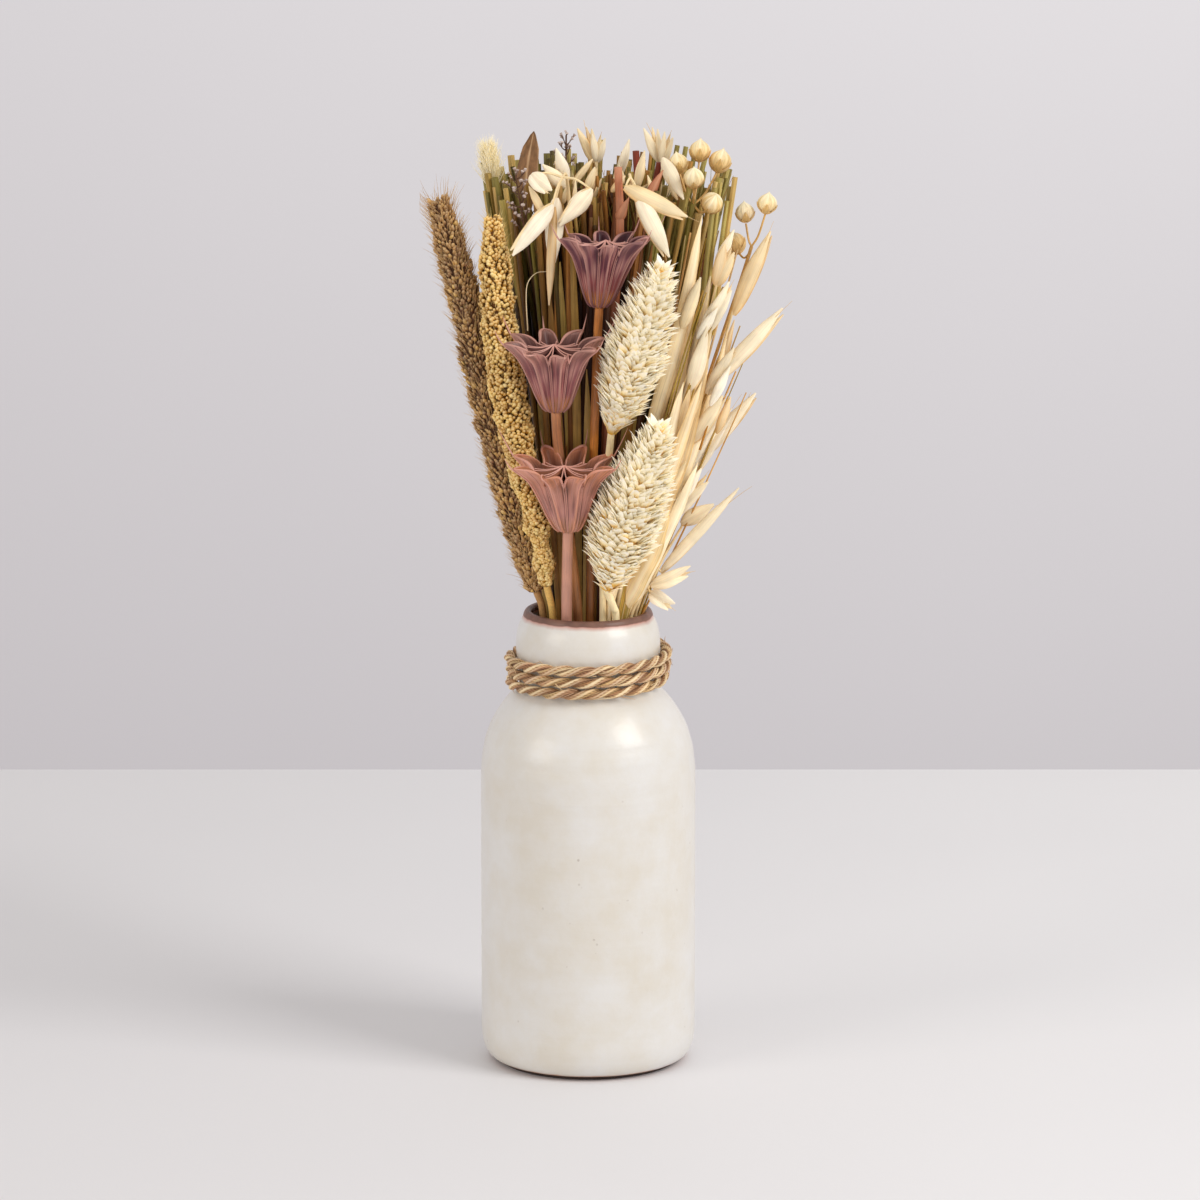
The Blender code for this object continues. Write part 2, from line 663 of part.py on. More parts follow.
def build_back_oats(husk):
    """Two short oat tufts that stand in the bundle's top at the back."""
    for name, x, spread in (("oat_back_left", 2.6, -1.0), ("oat_back_right", 22.0, 1.0)):
        stalk = np.array([(x, 21.0, SOCKET_LEVEL), (x, 21.5, 262), (x, 22.0, 272)])
        socket(stalk, 0.7)
        spikelets = [
            ((x, 22.0, 272), (x - 3.4, 23.0, 284), 0.2),
            ((x, 22.0, 271), (x + 3.6 * spread, 20.0, 283), 0.35),
        ]
        build_oat(name, husk, stalk, spikelets)


def build_leaves(husk, brown):
    """Three long papery leaves on the right, and one brown leaf that stands in the bundle's top."""
    build_blade("straw_leaf_long", husk, [(19.0, -11.8, 196), (27.0, -13.0, 226), (34.0, -13.6, 263)], 1.9)
    build_blade("straw_leaf_short", husk, [(15.6, -12.0, 157), (21.6, -14.3, 176), (34.0, -19.5, 214)], 1.8)
    build_blade("straw_leaf_side", husk, [(20.0, -3.6, 166), (30.0, -3.6, 204), (40.5, -3.0, 250)], 1.7)

    route = [(-19.6, 11.0, SOCKET_LEVEL), (-19.5, 11.2, 250), (-19.3, 12.0, 262)]
    route += [(-18.0, 14.0, 274), (-16.3, 15.0, 284)]
    leaf = spindle(np.array(route), (0, 1.0, 2.7, 2.4, 0), (0, 0.6, 0.6, 0.6, 0))
    add_object("brown_leaf", leaf, brown)
    socket(route, 0.9)
    guard(route, 2.7)


def build_flax_sprigs(capsule):
    """A flax sprig in the bundle's top and one along its right edge."""
    stalk = smooth([(28.0, 4.0, SOCKET_LEVEL), (29.6, 2.8, 252), (31.6, 0.0, 264)], 5)
    socket(stalk, 0.7)
    capsules = [(39.7, 8.0, 276), (33.6, 9.0, 279), (27.0, 4.0, 276), (31.6, -6.0, 273), (37.0, -9.0, 266)]
    build_flax("flax_top", capsule, stalk, capsules)

    stalk = stem_path(MOUTH["flax_right"], (33.0, 4.0, 200), (45.4, -2.0, 240), (49.0, -4.0, 252))
    build_flax("flax_right", capsule, stalk, [(53.6, -4.0, 265), (47.0, -2.0, 262), (44.0, 2.0, 252)])


def build_top_sprigs(lavender, fluff):
    """Two sea-lavender sprigs and a bunny tail, which stand in the bundle's top."""
    for name, foot, tip, count, reach in (
        ("sea_lavender_left", (-15.6, 1.4, SOCKET_LEVEL), (-21.6, -7.0, 274), 9, 3.4),
        ("sea_lavender_top", (-7.0, 16.0, SOCKET_LEVEL), (-6.6, 18.0, 283), 10, 3.6),
    ):
        socket(build_sprig(name, lavender, foot, tip, count, reach), 0.6)

    stem = np.array([(-22.4, 12.0, SOCKET_LEVEL), (-25.4, 12.0, 252)])
    head = [(-28.6, 12.0, 266), (-29.4, 12.0, 274), (-30.4, 12.4, 282)]
    build_head("bunny_tail", fluff, stem, 0.6, head, (0.9, 2.0, 2.2, 1.6, 0.7), 8, 12, 1.6, 2.6)
    socket(stem, 0.6)


def build_coloured_stems(pink, red):
    """A pink stem with a folded leaf, which runs up the front, and a forked red one in the bundle's top."""
    route = stem_path(MOUTH["pink_stem"], (5.4, -8.8, 200), (9.4, -11.2, 252), (9.0, -10.6, 277))
    leaf = spike(np.array([9.2, -11.0, 262]), np.array([12.2, -14.0, 268]), 1.5, 0.6, WIDE)
    fuse("pink_stem", [tube(route, 1.15, 5, 1.3), leaf], pink)
    guard(route, 1.3)

    straight = np.array([(16.0, 7.0, SOCKET_LEVEL), (15.4, 8.0, 258), (14.4, 9.0, 279)])
    fork = np.array([(15.8, 7.2, SOCKET_LEVEL + 4), (18.4, 6.4, 260), (21.4, 5.4, 276)])
    fuse("red_stem", [tube(straight, 1.2, 5), tube(fork, 1.0, 5)], red)
    socket([(16.0, 7.0, SOCKET_LEVEL), (16.2, 7.2, CORE_TOP)], 1.9)
    guard(straight, 1.3)
    guard(fork, 1.1)


def main():
    clear_scene()
    random.seed(SEED)
    husk = material("pale_husk", (0.7, 0.52, 0.28), 0.7)
    build_vase(material("cream_glaze", (0.78, 0.72, 0.63), 0.3))
    build_rope(material("seagrass", (0.5, 0.34, 0.18), 0.8))
    brown = material("brown_seed", (0.2, 0.12, 0.07), 0.85)
    build_spikes(brown, material("golden_seed", (0.55, 0.34, 0.12), 0.85))
    mauve = material("mauve_pod", (0.24, 0.12, 0.12), 0.7)
    build_pods(mauve, material("copper_pod", (0.42, 0.2, 0.16), 0.7))
    build_canary_heads(material("cream_bract", (0.84, 0.76, 0.52), 0.8))
    build_front_oats(husk)
    build_right_oats(husk)
    build_back_oats(husk)
    build_leaves(husk, material("brown_leaf", (0.22, 0.13, 0.07), 0.75))
    build_flax_sprigs(material("flax_capsule", (0.68, 0.54, 0.28), 0.7))
    lavender = material("sea_lavender", (0.36, 0.3, 0.3), 0.85)
    build_top_sprigs(lavender, material("bunny_fluff", (0.75, 0.7, 0.5), 0.9))
    pink = material("pink_stem", (0.5, 0.2, 0.13), 0.75)
    build_coloured_stems(pink, material("red_stem", (0.2, 0.04, 0.03), 0.75))
    build_bundle(material("straw", (0.36, 0.3, 0.12), 0.8))


main()
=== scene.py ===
"""Vase of dried flowers: the look of every piece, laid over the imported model.

Lengths in the functions below are millimetres, and piece() turns them into metres. X runs to the right,
Y away from the viewer and Z up, from the centre of the vase's flat base. Every shape is a numpy grid.
"""

import math
from collections import namedtuple

import bpy
import numpy as np
from bpy.props import FloatProperty, FloatVectorProperty, IntProperty, PointerProperty
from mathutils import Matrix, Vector


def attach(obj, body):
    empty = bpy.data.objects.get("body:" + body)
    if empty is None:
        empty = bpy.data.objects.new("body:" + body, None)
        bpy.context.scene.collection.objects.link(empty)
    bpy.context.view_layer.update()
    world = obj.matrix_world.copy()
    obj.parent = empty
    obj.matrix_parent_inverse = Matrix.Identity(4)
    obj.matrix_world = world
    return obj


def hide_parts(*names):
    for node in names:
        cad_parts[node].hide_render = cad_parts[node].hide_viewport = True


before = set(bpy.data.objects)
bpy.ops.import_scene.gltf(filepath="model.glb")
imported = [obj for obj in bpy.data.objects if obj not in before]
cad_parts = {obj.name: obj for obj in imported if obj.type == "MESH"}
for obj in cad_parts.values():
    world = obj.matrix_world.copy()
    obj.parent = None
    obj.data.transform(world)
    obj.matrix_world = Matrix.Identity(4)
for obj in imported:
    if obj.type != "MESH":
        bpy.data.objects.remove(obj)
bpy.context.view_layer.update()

bl_info = {
    "name": "Dried flower vase",
    "version": (1, 0, 0),
    "blender": (4, 5, 0),
    "location": "3D View > Sidebar > Dried flowers",
    "description": "Builds the vase, its rope, each dried plant and the stage they stand on",
    "category": "Object",
}

MM = 0.001
FRONT = np.array([0.0, -1.0, 0.0])
UP = np.array([0.0, 0.0, 1.0])
GOLDEN_ANGLE = math.radians(137.5)
# Heights of the stems' feet in the vase and of its rim
FLOOR = 6.3
RIM = 140.2

# Each stem's place in the mouth
MOUTH = {
    "brown_foxtail_millet": (-13.6, -4.8),
    "golden_foxtail_millet": (-10.6, -9.6),
    "seed_pod_lower": (-6.4, -12.7),
    "seed_pod_middle": (-3.0, -9.3),
    "seed_pod_upper": (0.7, -9.2),
    "pink_stem": (3.6, -6.4),
    "canary_grass_upper": (4.5, -11.2),
    "canary_grass_lower": (8.4, -12.1),
    "straw_leaf_long": (7.6, -7.6),
    "straw_leaf_short": (10.3, -9.2),
    "straw_leaf_side": (12.8, -3.2),
    "oat_right_inner": (11.3, -6.2),
    "oat_right_low": (12.9, -8.3),
    "oat_right_tall": (14.2, -5.2),
    "oat_right_middle": (15.0, -1.6),
    "flax_right": (15.4, 1.4),
}

# Points, faces and five values a point: where it lies on the straightened piece in mm (across, deep, along),
# its tint and its shade. Tint picks a colour from the material's range. Shade goes from dark (0) to pale (1),
# and carries painted shade and highlight as well as the piece's own darker and paler parts.
Skin = namedtuple("Skin", "points faces values")
# Path and radius of each stem and head that the straws stay out of
stems = []


# Shapes


def unit(vectors):
    """Each vector over its own length."""
    return vectors / np.linalg.norm(vectors, axis=-1, keepdims=True)


def circle(count):
    """Angles evenly round a circle."""
    return 2 * math.pi * np.arange(count) / count


def stretch(values, count):
    """Values laid evenly over a count of places, in straight lines between them."""
    return np.interp(np.linspace(0, 1, count), np.linspace(0, 1, len(values)), values)


def quadratic(start, handle, end, t):
    """(1-t)^2 start + 2t(1-t) handle + t^2 end."""
    return (1 - t) ** 2 * start + 2 * t * (1 - t) * handle + t**2 * end


def curve(start, handle, end, steps):
    """Points of a quadratic curve, without its start."""
    t = np.linspace(0, 1, steps + 1)[1:, None]
    return quadratic(np.array(start), np.array(handle), np.array(end), t)


def hairs(start, way, bend, rows, power=2):
    """Thin curves from a start: start + t way + t^power bend."""
    t = np.linspace(0, 1, rows)[None, :, None]
    return start[:, None] + t * way[:, None] + t**power * bend[:, None]


def smooth(points, count):
    """Points of a smooth curve through the given ones: a cubic between each two, its slope there that of the
    line between their neighbours."""
    p = np.array(points, float)
    p = np.vstack([2 * p[0] - p[1], p, 2 * p[-1] - p[-2]])
    t = np.linspace(0, len(p) - 3 - 1e-9, count)
    i = t.astype(int)
    f = (t - i)[:, None]
    a, b, c, d = p[i], p[i + 1], p[i + 2], p[i + 3]
    return 0.5 * (2 * b + (c - a) * f + (2 * a - 5 * b + 4 * c - d) * f**2 + (3 * b - a - 3 * c + d) * f**3)


def stem_path(mouth, *points, count=40):
    """A stem's route: from the vase's floor, a tenth nearer the middle, up to its place in the mouth, then
    through the given points."""
    x, y = mouth
    low = [(x * 0.9, y * 0.9, FLOOR), (x, y, RIM - 22)]
    return np.vstack([low[:1], smooth([low[1], (x, y, RIM - 1), *points], count - 1)])


def axes_along(paths, face=FRONT):
    """Three square directions at each point of paths: across, toward the face direction, and forward."""
    along = unit(np.gradient(paths, axis=-2))
    side = unit(np.cross(face, along))
    return side, np.cross(along, side), along


def run_length(paths):
    """Length of each path from its start to each of its points."""
    steps = np.linalg.norm(np.diff(paths, axis=-2), axis=-1)
    return np.concatenate([np.zeros_like(steps[..., :1]), np.cumsum(steps, axis=-1)], axis=-1)


def nearest_on(path, place):
    """The point of a path that lies nearest to a place."""
    return path[np.argmin(np.linalg.norm(path - place, axis=1))]


def pick(table, place):
    """Rows of a table at places between its rows."""
    rows = np.arange(len(table))
    return np.stack([np.interp(place, rows, table[:, k]) for k in range(table.shape[1])], axis=-1)


def laid(shape, *values):
    """Each value as an array of that shape."""
    return [np.broadcast_to(np.asarray(value, float), shape) for value in values]


def grid_faces(rows, columns, wrap):
    """Four-cornered faces of a grid of points, joined round its columns if it wraps."""
    i = np.arange(rows - 1)[:, None] * columns
    j = np.arange(columns if wrap else columns - 1)[None]
    k = (j + 1) % columns
    return np.stack([i + j, i + k, i + k + columns, i + j + columns], axis=-1).reshape(-1, 4)


def closed(grids, first, last, grain, tint=0.5, shade=0.5):
    """Closed skins over grids of rings (copies, rows, columns, 3), with a point at each end."""
    n, rows, columns = grids.shape[:3]
    tones = [item[..., None] for item in laid((n, rows, columns), tint, shade)]
    values = np.concatenate([grain, *tones], axis=-1)
    ends = values[:, [0, -1]].mean(axis=2)
    values = np.concatenate([values.reshape(n, -1, 5), ends], axis=1).reshape(-1, 5)
    points = np.concatenate([grids.reshape(n, -1, 3), first[:, None], last[:, None]], axis=1).reshape(-1, 3)
    j = np.arange(columns)
    k = (j + 1) % columns
    top = (rows - 1) * columns
    pole = np.full(columns, rows * columns)
    caps = np.vstack([np.column_stack([k, j, pole]), np.column_stack([top + j, top + k, pole + 1])])
    shift = (np.arange(n) * (rows * columns + 2))[:, None, None]
    faces = [(grid_faces(rows, columns, True) + shift).reshape(-1, 4), (caps + shift).reshape(-1, 3)]
    return Skin(points, faces, values)


def tubes(paths, radii, sides=6, face=FRONT, flat=1.0, tint=0.5, shade=0.5, bore=0.0, flute=0.0):
    """Bars along paths (copies, rows, 3): path + r cos(angle) across + flat r sin(angle) face. Every other
    corner sinks by the flute, a share of the radius. A bore hollows the far end, to that share of the radius
    and 1.6 mm deep, and is painted dark inside as shade."""
    paths = np.asarray(paths, float)
    paths = paths if paths.ndim == 3 else paths[None]
    n, rows = paths.shape[:2]
    radii, tint, shade = laid((n, rows), radii, tint, shade)
    side, up, along = axes_along(paths, face)
    lengths = run_length(paths)
    if bore:
        again = np.array([*range(rows), rows - 1, rows - 1])
        paths, side, up, along, radii, lengths, tint, shade = (
            item[:, again] for item in (paths, side, up, along, radii, lengths, tint, shade)
        )
        radii[:, -2:] *= bore
        paths[:, -1] -= 1.6 * along[:, -1]
        # Painted shade deep in the bore
        shade[:, -1] = 0.0
    angle = circle(sides)
    reach = radii[..., None] * (1 - flute * (np.arange(sides) % 2))
    c, s = reach * np.cos(angle), reach * np.sin(angle) * flat
    grids = paths[:, :, None] + c[..., None] * side[:, :, None] + s[..., None] * up[:, :, None]
    offset = 11.3 * np.arange(n)[:, None, None]
    grain = np.stack([c + offset, s, np.broadcast_to(lengths[..., None], c.shape)], axis=-1)
    return closed(grids, paths[:, 0], paths[:, -1], grain, tint[..., None], shade[..., None])


def sheet(grid, thickness, tint=0.5, shade=0.5):
    """A thin closed skin on both sides of a grid of points (rows, columns, 3): each point moves half the
    thickness along the grid's normal, and less at the side edges."""
    rows, columns = grid.shape[:2]
    across = np.linspace(-1, 1, columns)
    normal = unit(np.cross(np.gradient(grid, axis=1), np.gradient(grid, axis=0)))
    half = normal * (0.5 * thickness * (1 - 0.6 * across**4))[None, :, None]
    middle = grid[:, columns // 2]
    width = np.linalg.norm(grid - middle[:, None], axis=-1) * np.sign(across)
    length = np.broadcast_to(run_length(middle)[:, None], width.shape)
    tones = laid((rows, columns), tint, shade)
    values = np.stack([width, 0 * width, length, *tones], axis=-1).reshape(-1, 5)
    total = rows * columns
    top = grid_faces(rows, columns, False)
    near, far = np.arange(columns), np.arange(rows) * columns
    loop = np.concatenate([near, far[1:] + columns - 1, near[::-1][1:] + far[-1], far[::-1][1:-1]])
    after = np.roll(loop, -1)
    edge = np.column_stack([loop + total, after + total, after, loop])
    points = np.vstack([(grid + half).reshape(-1, 3), (grid - half).reshape(-1, 3)])
    return Skin(points, [top, top[:, ::-1] + total, edge], np.vstack([values, values]))


def seed(heights, radii, sides, flat=1.0, shade=(0.0, 1.0)):
    """A small closed shape to repeat, one unit long: a ring at each height and a point at 0 and at 1. Its
    shade runs through the given values from root to tip."""
    heights, radii = np.array(heights, float), np.array(radii, float)
    angle = circle(sides)
    ring = np.stack([np.outer(radii, np.cos(angle)), np.outer(radii, np.sin(angle)) * flat], axis=-1)
    grid = np.concatenate([ring, np.broadcast_to(heights[:, None, None], (len(heights), sides, 1))], axis=-1)
    tone = np.interp(heights, np.linspace(0, 1, len(shade)), shade)[None, :, None]
    return closed(grid[None], np.zeros((1, 3)), np.array([[0.0, 0.0, 1.0]]), grid[None], 0.5, tone)


def copies(template, origins, forward, outward, sizes, tint):
    """Copies of a template: origin + size (x across + y outward + z forward), with outward turned square to
    forward."""
    n, each = len(origins), len(template.points)
    side = unit(np.cross(outward, forward))
    axes = np.stack([side, np.cross(forward, side), forward], axis=1) * sizes[:, :, None]
    points = origins[:, None] + np.einsum("vk,nkd->nvd", template.points, axes)
    values = np.broadcast_to(template.values, (n, each, 5)).copy()
    values[..., :3] = template.points[None] * sizes[:, None]
    values[..., 0] += 7.1 * np.arange(n)[:, None]
    values[..., 3] = np.broadcast_to(tint, (n,))[:, None]
    shift = (np.arange(n) * each)[:, None, None]
    faces = [(part[None] + shift).reshape(-1, part.shape[1]) for part in template.faces]
    return Skin(points.reshape(-1, 3), faces, values.reshape(-1, 5))


def on_head(path, radii, count, rng, wander=0.15):
    """Places all round a head: the share of its length from the running sum of its radius, so that each part
    of the skin gets as many, and the angle from the golden angle. Gives centre, outward, along, radius and
    share."""
    steps = 240
    even = np.linspace(0, 1, steps)
    fine, size = smooth(path, steps), stretch(radii, steps)
    total = np.cumsum(size + 0.4)
    share = np.interp((np.arange(count) + rng.uniform(0, 1, count)) / count, total / total[-1], even)
    angle = np.arange(count) * GOLDEN_ANGLE + rng.normal(0, wander, count)
    row = share * (steps - 1)
    side, up, along = (pick(item, row) for item in axes_along(fine))
    outward = np.cos(angle)[:, None] * side + np.sin(angle)[:, None] * up
    return pick(fine, row), unit(outward), unit(along), np.interp(share, even, size), share


def keep_clear(path, radius):
    """Notes a stem or head, so that the straws stay out of it."""
    fine = smooth(path, max(8, int(run_length(np.asarray(path, float))[-1] / 2)))
    stems.append((fine, stretch(np.atleast_1d(radius), len(fine))))


def piece(name, skins, mat, slot, *nodes, angle=50):
    """One object at the origin from joined skins. It rides on the body and stands for its CAD nodes."""
    starts = np.cumsum([0] + [len(skin.points) for skin in skins[:-1]])
    parts = [part + start for skin, start in zip(skins, starts) for part in skin.faces]
    corners = np.concatenate([part.ravel() for part in parts])
    sizes = np.concatenate([np.full(len(part), part.shape[1]) for part in parts])
    points = np.vstack([skin.points for skin in skins]) * MM
    values = np.vstack([skin.values for skin in skins])
    mesh = bpy.data.meshes.new(name)
    mesh.vertices.add(len(points))
    mesh.vertices.foreach_set("co", points.ravel())
    mesh.loops.add(len(corners))
    mesh.loops.foreach_set("vertex_index", corners)
    mesh.polygons.add(len(sizes))
    mesh.polygons.foreach_set("loop_start", np.cumsum(sizes) - sizes)
    mesh.update(calc_edges=True)
    mesh.attributes.new("grain", "FLOAT_VECTOR", "POINT").data.foreach_set("vector", values[:, :3].ravel())
    for k, key in ((3, "tint"), (4, "shade")):
        mesh.attributes.new(key, "FLOAT", "POINT").data.foreach_set("value", values[:, k].copy())
    mesh.materials.append(mat)
    mesh.shade_smooth()
    mesh.set_sharp_from_angle(angle=math.radians(angle))
    obj = bpy.data.objects.new(name, mesh)
    bpy.context.scene.collection.objects.link(obj)
    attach(obj, "root")
    if nodes:
        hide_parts(*nodes)


# Materials

# Thin dry tissue lets a little light through
THIN = {"Subsurface_Weight": 0.1, "Subsurface_Scale": 0.001}


def linear(colour):
    """Linear red, green and blue of an sRGB hex colour. A property's colour is linear already."""
    if not isinstance(colour, str):
        return tuple(colour)
    values = np.array([int(colour[k : k + 2], 16) for k in (1, 3, 5)]) / 255
    return tuple(np.where(values <= 0.04045, values / 12.92, ((values + 0.055) / 1.055) ** 2.4))


def add(tree, kind, inputs=None, stops=None, **settings):
    """Adds a node with its settings. An input is a value, a socket, or a node, for its first live output."""
    node = tree.nodes.new("ShaderNode" + kind)
    for key, value in settings.items():
        setattr(node, key, value)
    for key, value in (inputs or {}).items():
        if isinstance(value, bpy.types.Node):
            value = next(output for output in value.outputs if output.enabled)
        if isinstance(value, bpy.types.NodeSocket):
            tree.links.new(value, node.inputs[key])
        else:
            node.inputs[key].default_value = value
    for k, (place, colour) in enumerate(stops or ()):
        element = node.color_ramp.elements[k] if k < 2 else node.color_ramp.elements.new(place)
        element.position = place
        element.color = (*colour, 1.0)
    return node


def blank(name, **sockets):
    """A material with its shader's own values set, its node tree and its shader. Light in dry tissue spreads
    nearly as far in green and blue as in red."""
    mat = bpy.data.materials.new(name)
    mat.use_nodes = True
    shader = mat.node_tree.nodes["Principled BSDF"]
    shader.inputs["Subsurface Radius"].default_value = (1.0, 0.85, 0.6)
    for key, value in sockets.items():
        shader.inputs[key.replace("_", " ")].default_value = value
    return mat, mat.node_tree, shader


def noise(tree, place, scale, detail=2.0, roughness=0.5):
    """A noise's value at a place, with blotches about one over the scale across."""
    inputs = {"Vector": place, "Scale": scale, "Detail": detail, "Roughness": roughness}
    return add(tree, "TexNoise", inputs).outputs["Fac"]


def mix(tree, factor, low, high, blend="MIX"):
    """Colour between two, by a factor. A colour is a node, a hex string or a property's colour."""
    ends = [end if isinstance(end, bpy.types.Node) else (*linear(end), 1.0) for end in (low, high)]
    return add(tree, "Mix", {0: factor, 6: ends[0], 7: ends[1]}, data_type="RGBA", blend_type=blend)


def math_node(tree, operation, *values):
    """A sum, product or the like of values and sockets."""
    return add(tree, "Math", dict(enumerate(values)), operation=operation)


def spread(tree, value, low, high, start=0.0, end=1.0):
    """A value's range low to high, laid over start to end and held there."""
    inputs = {"Value": value, "From Min": low, "From Max": high, "To Min": start, "To Max": end}
    return add(tree, "MapRange", inputs)


def finish_shader(tree, shader, colour, height, distance):
    """Joins a colour and a relief to the shader. The relief's distance is in metres."""
    bump = add(tree, "Bump", {"Height": height, "Distance": distance, "Strength": 1.0})
    tree.links.new(colour, shader.inputs["Base Color"])
    tree.links.new(bump.outputs[0], shader.inputs["Normal"])


def dry_plant(name, colours, fibre=(0.3, 5.0), relief=0.03, streaks=0.35, **sockets):
    """Dry plant matter. The shade goes from the first colour to the last, through the one that the tint picks
    from those between. Streaks run along the piece, as wide and as long as the fibre in mm, and give the
    relief."""
    mat, tree, shader = blank(name, **sockets)
    dark, *middle, pale = colours
    stops = [(k / (len(middle) - 1), linear(colour)) for k, colour in enumerate(middle)]
    tint, shade, grain = (add(tree, "Attribute", attribute_name=key) for key in ("tint", "shade", "grain"))
    base = add(tree, "ValToRGB", {"Fac": tint.outputs["Fac"]}, stops=stops)
    scale = (1 / fibre[0], 1 / fibre[0], 1 / fibre[1])
    along = add(tree, "Mapping", {"Vector": grain.outputs["Vector"], "Scale": scale})
    streak = noise(tree, along, 1.0, 3.0, 0.6)
    # Blotches of about 6 mm, where the sun and damp have left a piece lighter or darker
    blotch = noise(tree, add(tree, "TexCoord").outputs["Object"], 160.0)
    lit = mix(tree, 1.0, base, spread(tree, streak, 0.3, 0.7, 1 - streaks, 1 + 0.45 * streaks), "MULTIPLY")
    lit = mix(tree, 1.0, lit, spread(tree, blotch, 0.35, 0.65, 0.86, 1.1), "MULTIPLY")
    low = mix(tree, spread(tree, shade.outputs["Fac"], 0.0, 0.5), dark, lit)
    high = mix(tree, spread(tree, shade.outputs["Fac"], 0.5, 1.0), low, pale)
    # Every colour is made warmer and brighter, painted light that stands in for light passing through dry
    # tissue
    warm = add(tree, "HueSaturation", {"Color": high.outputs[2], "Saturation": 1.12, "Value": 1.16})
    finish_shader(tree, shader, warm.outputs[0], streak, relief * MM)
    return mat


def colour_of(name, about, value):
    """A colour that a user can change, from sRGB hex."""
    default = linear(value)
    return FloatVectorProperty(
        name=name, description=about, subtype="COLOR", size=3, min=0.0, max=1.0, default=default
    )


def length_of(name, about, value):
    """A length in millimetres, kept in metres as the interface shows it."""
    default = value * MM
    return FloatProperty(
        name=name, description=about, subtype="DISTANCE", unit="LENGTH", min=0.0, default=default
    )


def power_of(name, about, value):
    """A lamp's power in watts."""
    return FloatProperty(name=name, description=about, unit="POWER", default=value)


def count_of(name, about, value):
    """How many of a repeated shape."""
    return IntProperty(name=name, description=about, min=1, default=value)


# Vase

# Radius and height of the places where the outline turns: outside from the foot up, then down the inside
FOOT = (28.4, 1.2)
WALL = (32.7, 88)
SHOULDER = (29, 106.3)
SLOPE = (22, 115.6)
NECK = (20.6, 120.5)
COLLAR = (21.9, 129)
LIP = (19.8, 138)
LIP_TOP = (18.2, RIM)
MOUTH_EDGE = (16.9, 138.2)
MOUTH_FOOT = (16.9, 118.5)
INNER_SHOULDER = (19.6, 112.8)
INNER_WALL = (29.0, 88.0)
INNER_HEEL = (29.0, 14.0)
INNER_FLOOR = (21.0, 6.0)


def vase_outline():
    """Radius and height, up the outside, over the lip and down the inside, in quadratic curves between the
    places and straight lines along the walls."""
    return np.vstack(
        [
            [(27.2, 0.0), (27.6, 0.3), (27.6, 1.2), FOOT],
            curve(FOOT, (32.2, 1.6), (WALL[0], 10.0), 12),
            np.column_stack([np.full(38, WALL[0]), np.linspace(12, WALL[1], 38)]),
            curve(WALL, (32.7, 99.5), SHOULDER, 14),
            curve(SHOULDER, (25.6, 112.6), SLOPE, 10),
            curve(SLOPE, (20.6, 116.8), NECK, 6),
            curve(NECK, (21.7, 123), COLLAR, 8),
            curve(COLLAR, (21.9, 135), LIP, 10),
            curve(LIP, (19.4, 140.4), LIP_TOP, 6),
            curve(LIP_TOP, (16.9, RIM), MOUTH_EDGE, 6),
            [(16.9, 130.0), MOUTH_FOOT],
            curve(MOUTH_FOOT, (17.2, 114.8), INNER_SHOULDER, 4),
            curve(INNER_SHOULDER, (25.2, 109.0), INNER_WALL, 8),
            [(29.0, 50.0), INNER_HEEL],
            curve(INNER_HEEL, (29.0, 6.0), INNER_FLOOR, 6),
        ]
    )


def glaze_material(look):
    """Stoneware with a satin magnesium glaze, dipped: matt cream with a soft sheen, faint mottling where the
    glaze lay thicker, pinholes and iron specks, bare toasted clay on the lip and the foot, and a painted
    shadow under the foot."""
    mat, tree, shader = blank("satin_glazed_stoneware", IOR=1.5, Coat_Weight=0.25, Coat_Roughness=0.16)
    place = add(tree, "TexCoord").outputs["Object"]
    height = add(tree, "SeparateXYZ", {"Vector": place}).outputs["Z"]
    patch = noise(tree, place, 55.0, 5.0, 0.62)
    cream = mix(tree, spread(tree, patch, 0.35, 0.65), look.shade, look.glaze)
    # Iron specks about 0.5 mm across, a few to the square centimetre
    dots = add(tree, "TexVoronoi", {"Vector": place, "Scale": 420.0})
    near = spread(tree, dots.outputs["Distance"], 0.1, 0.22, 1.0, 0.0)
    some = spread(tree, noise(tree, place, 250.0), 0.64, 0.72)
    speck = math_node(tree, "MULTIPLY", near, some)
    cream = mix(tree, math_node(tree, "MULTIPLY", speck, 0.4), cream, "#8B735E")
    # The glaze stops under the lip, and again above the foot, in a line that wavers by about 0.5 mm
    waver = noise(tree, place, 180.0, 3.0)
    level = math_node(tree, "MULTIPLY_ADD", waver, 0.0012, height)
    bare = spread(tree, level, 0.139, 0.1393)
    thin = spread(tree, level, 0.1379, 0.1391)
    foot = spread(tree, level, 0.0019, 0.0026, 1.0, 0.0)
    # Painted shadow: a dark band under the foot, where it meets the table
    under = spread(tree, height, 0.0011, 0.00135, 1.0, 0.0)
    cream = mix(tree, thin, cream, "#C48F80")
    clay = mix(tree, spread(tree, waver, 0.3, 0.7), look.clay, "#87604F")
    whole = mix(tree, bare, cream, clay)
    whole = mix(tree, foot, whole, "#C28A68")
    whole = mix(tree, under, whole, "#3A2720")
    # Satin varies with thickness, and bare clay is dull
    satin = spread(tree, patch, 0.3, 0.7, 0.3, 0.4)
    dull = math_node(tree, "MAXIMUM", bare, foot)
    rough = add(tree, "Mix", {0: dull, 2: satin, 3: 0.72})
    tree.links.new(rough.outputs[0], shader.inputs["Roughness"])
    # Throwing lines about 2.4 mm apart, and the glaze's orange skin about 1.5 mm across
    rings = noise(tree, add(tree, "Mapping", {"Vector": place, "Scale": (8, 8, 420)}), 1.0)
    relief = math_node(tree, "MULTIPLY_ADD", rings, 2.0, noise(tree, place, 650.0))
    finish_shader(tree, shader, whole.outputs[2], relief, 0.00004)
    return mat


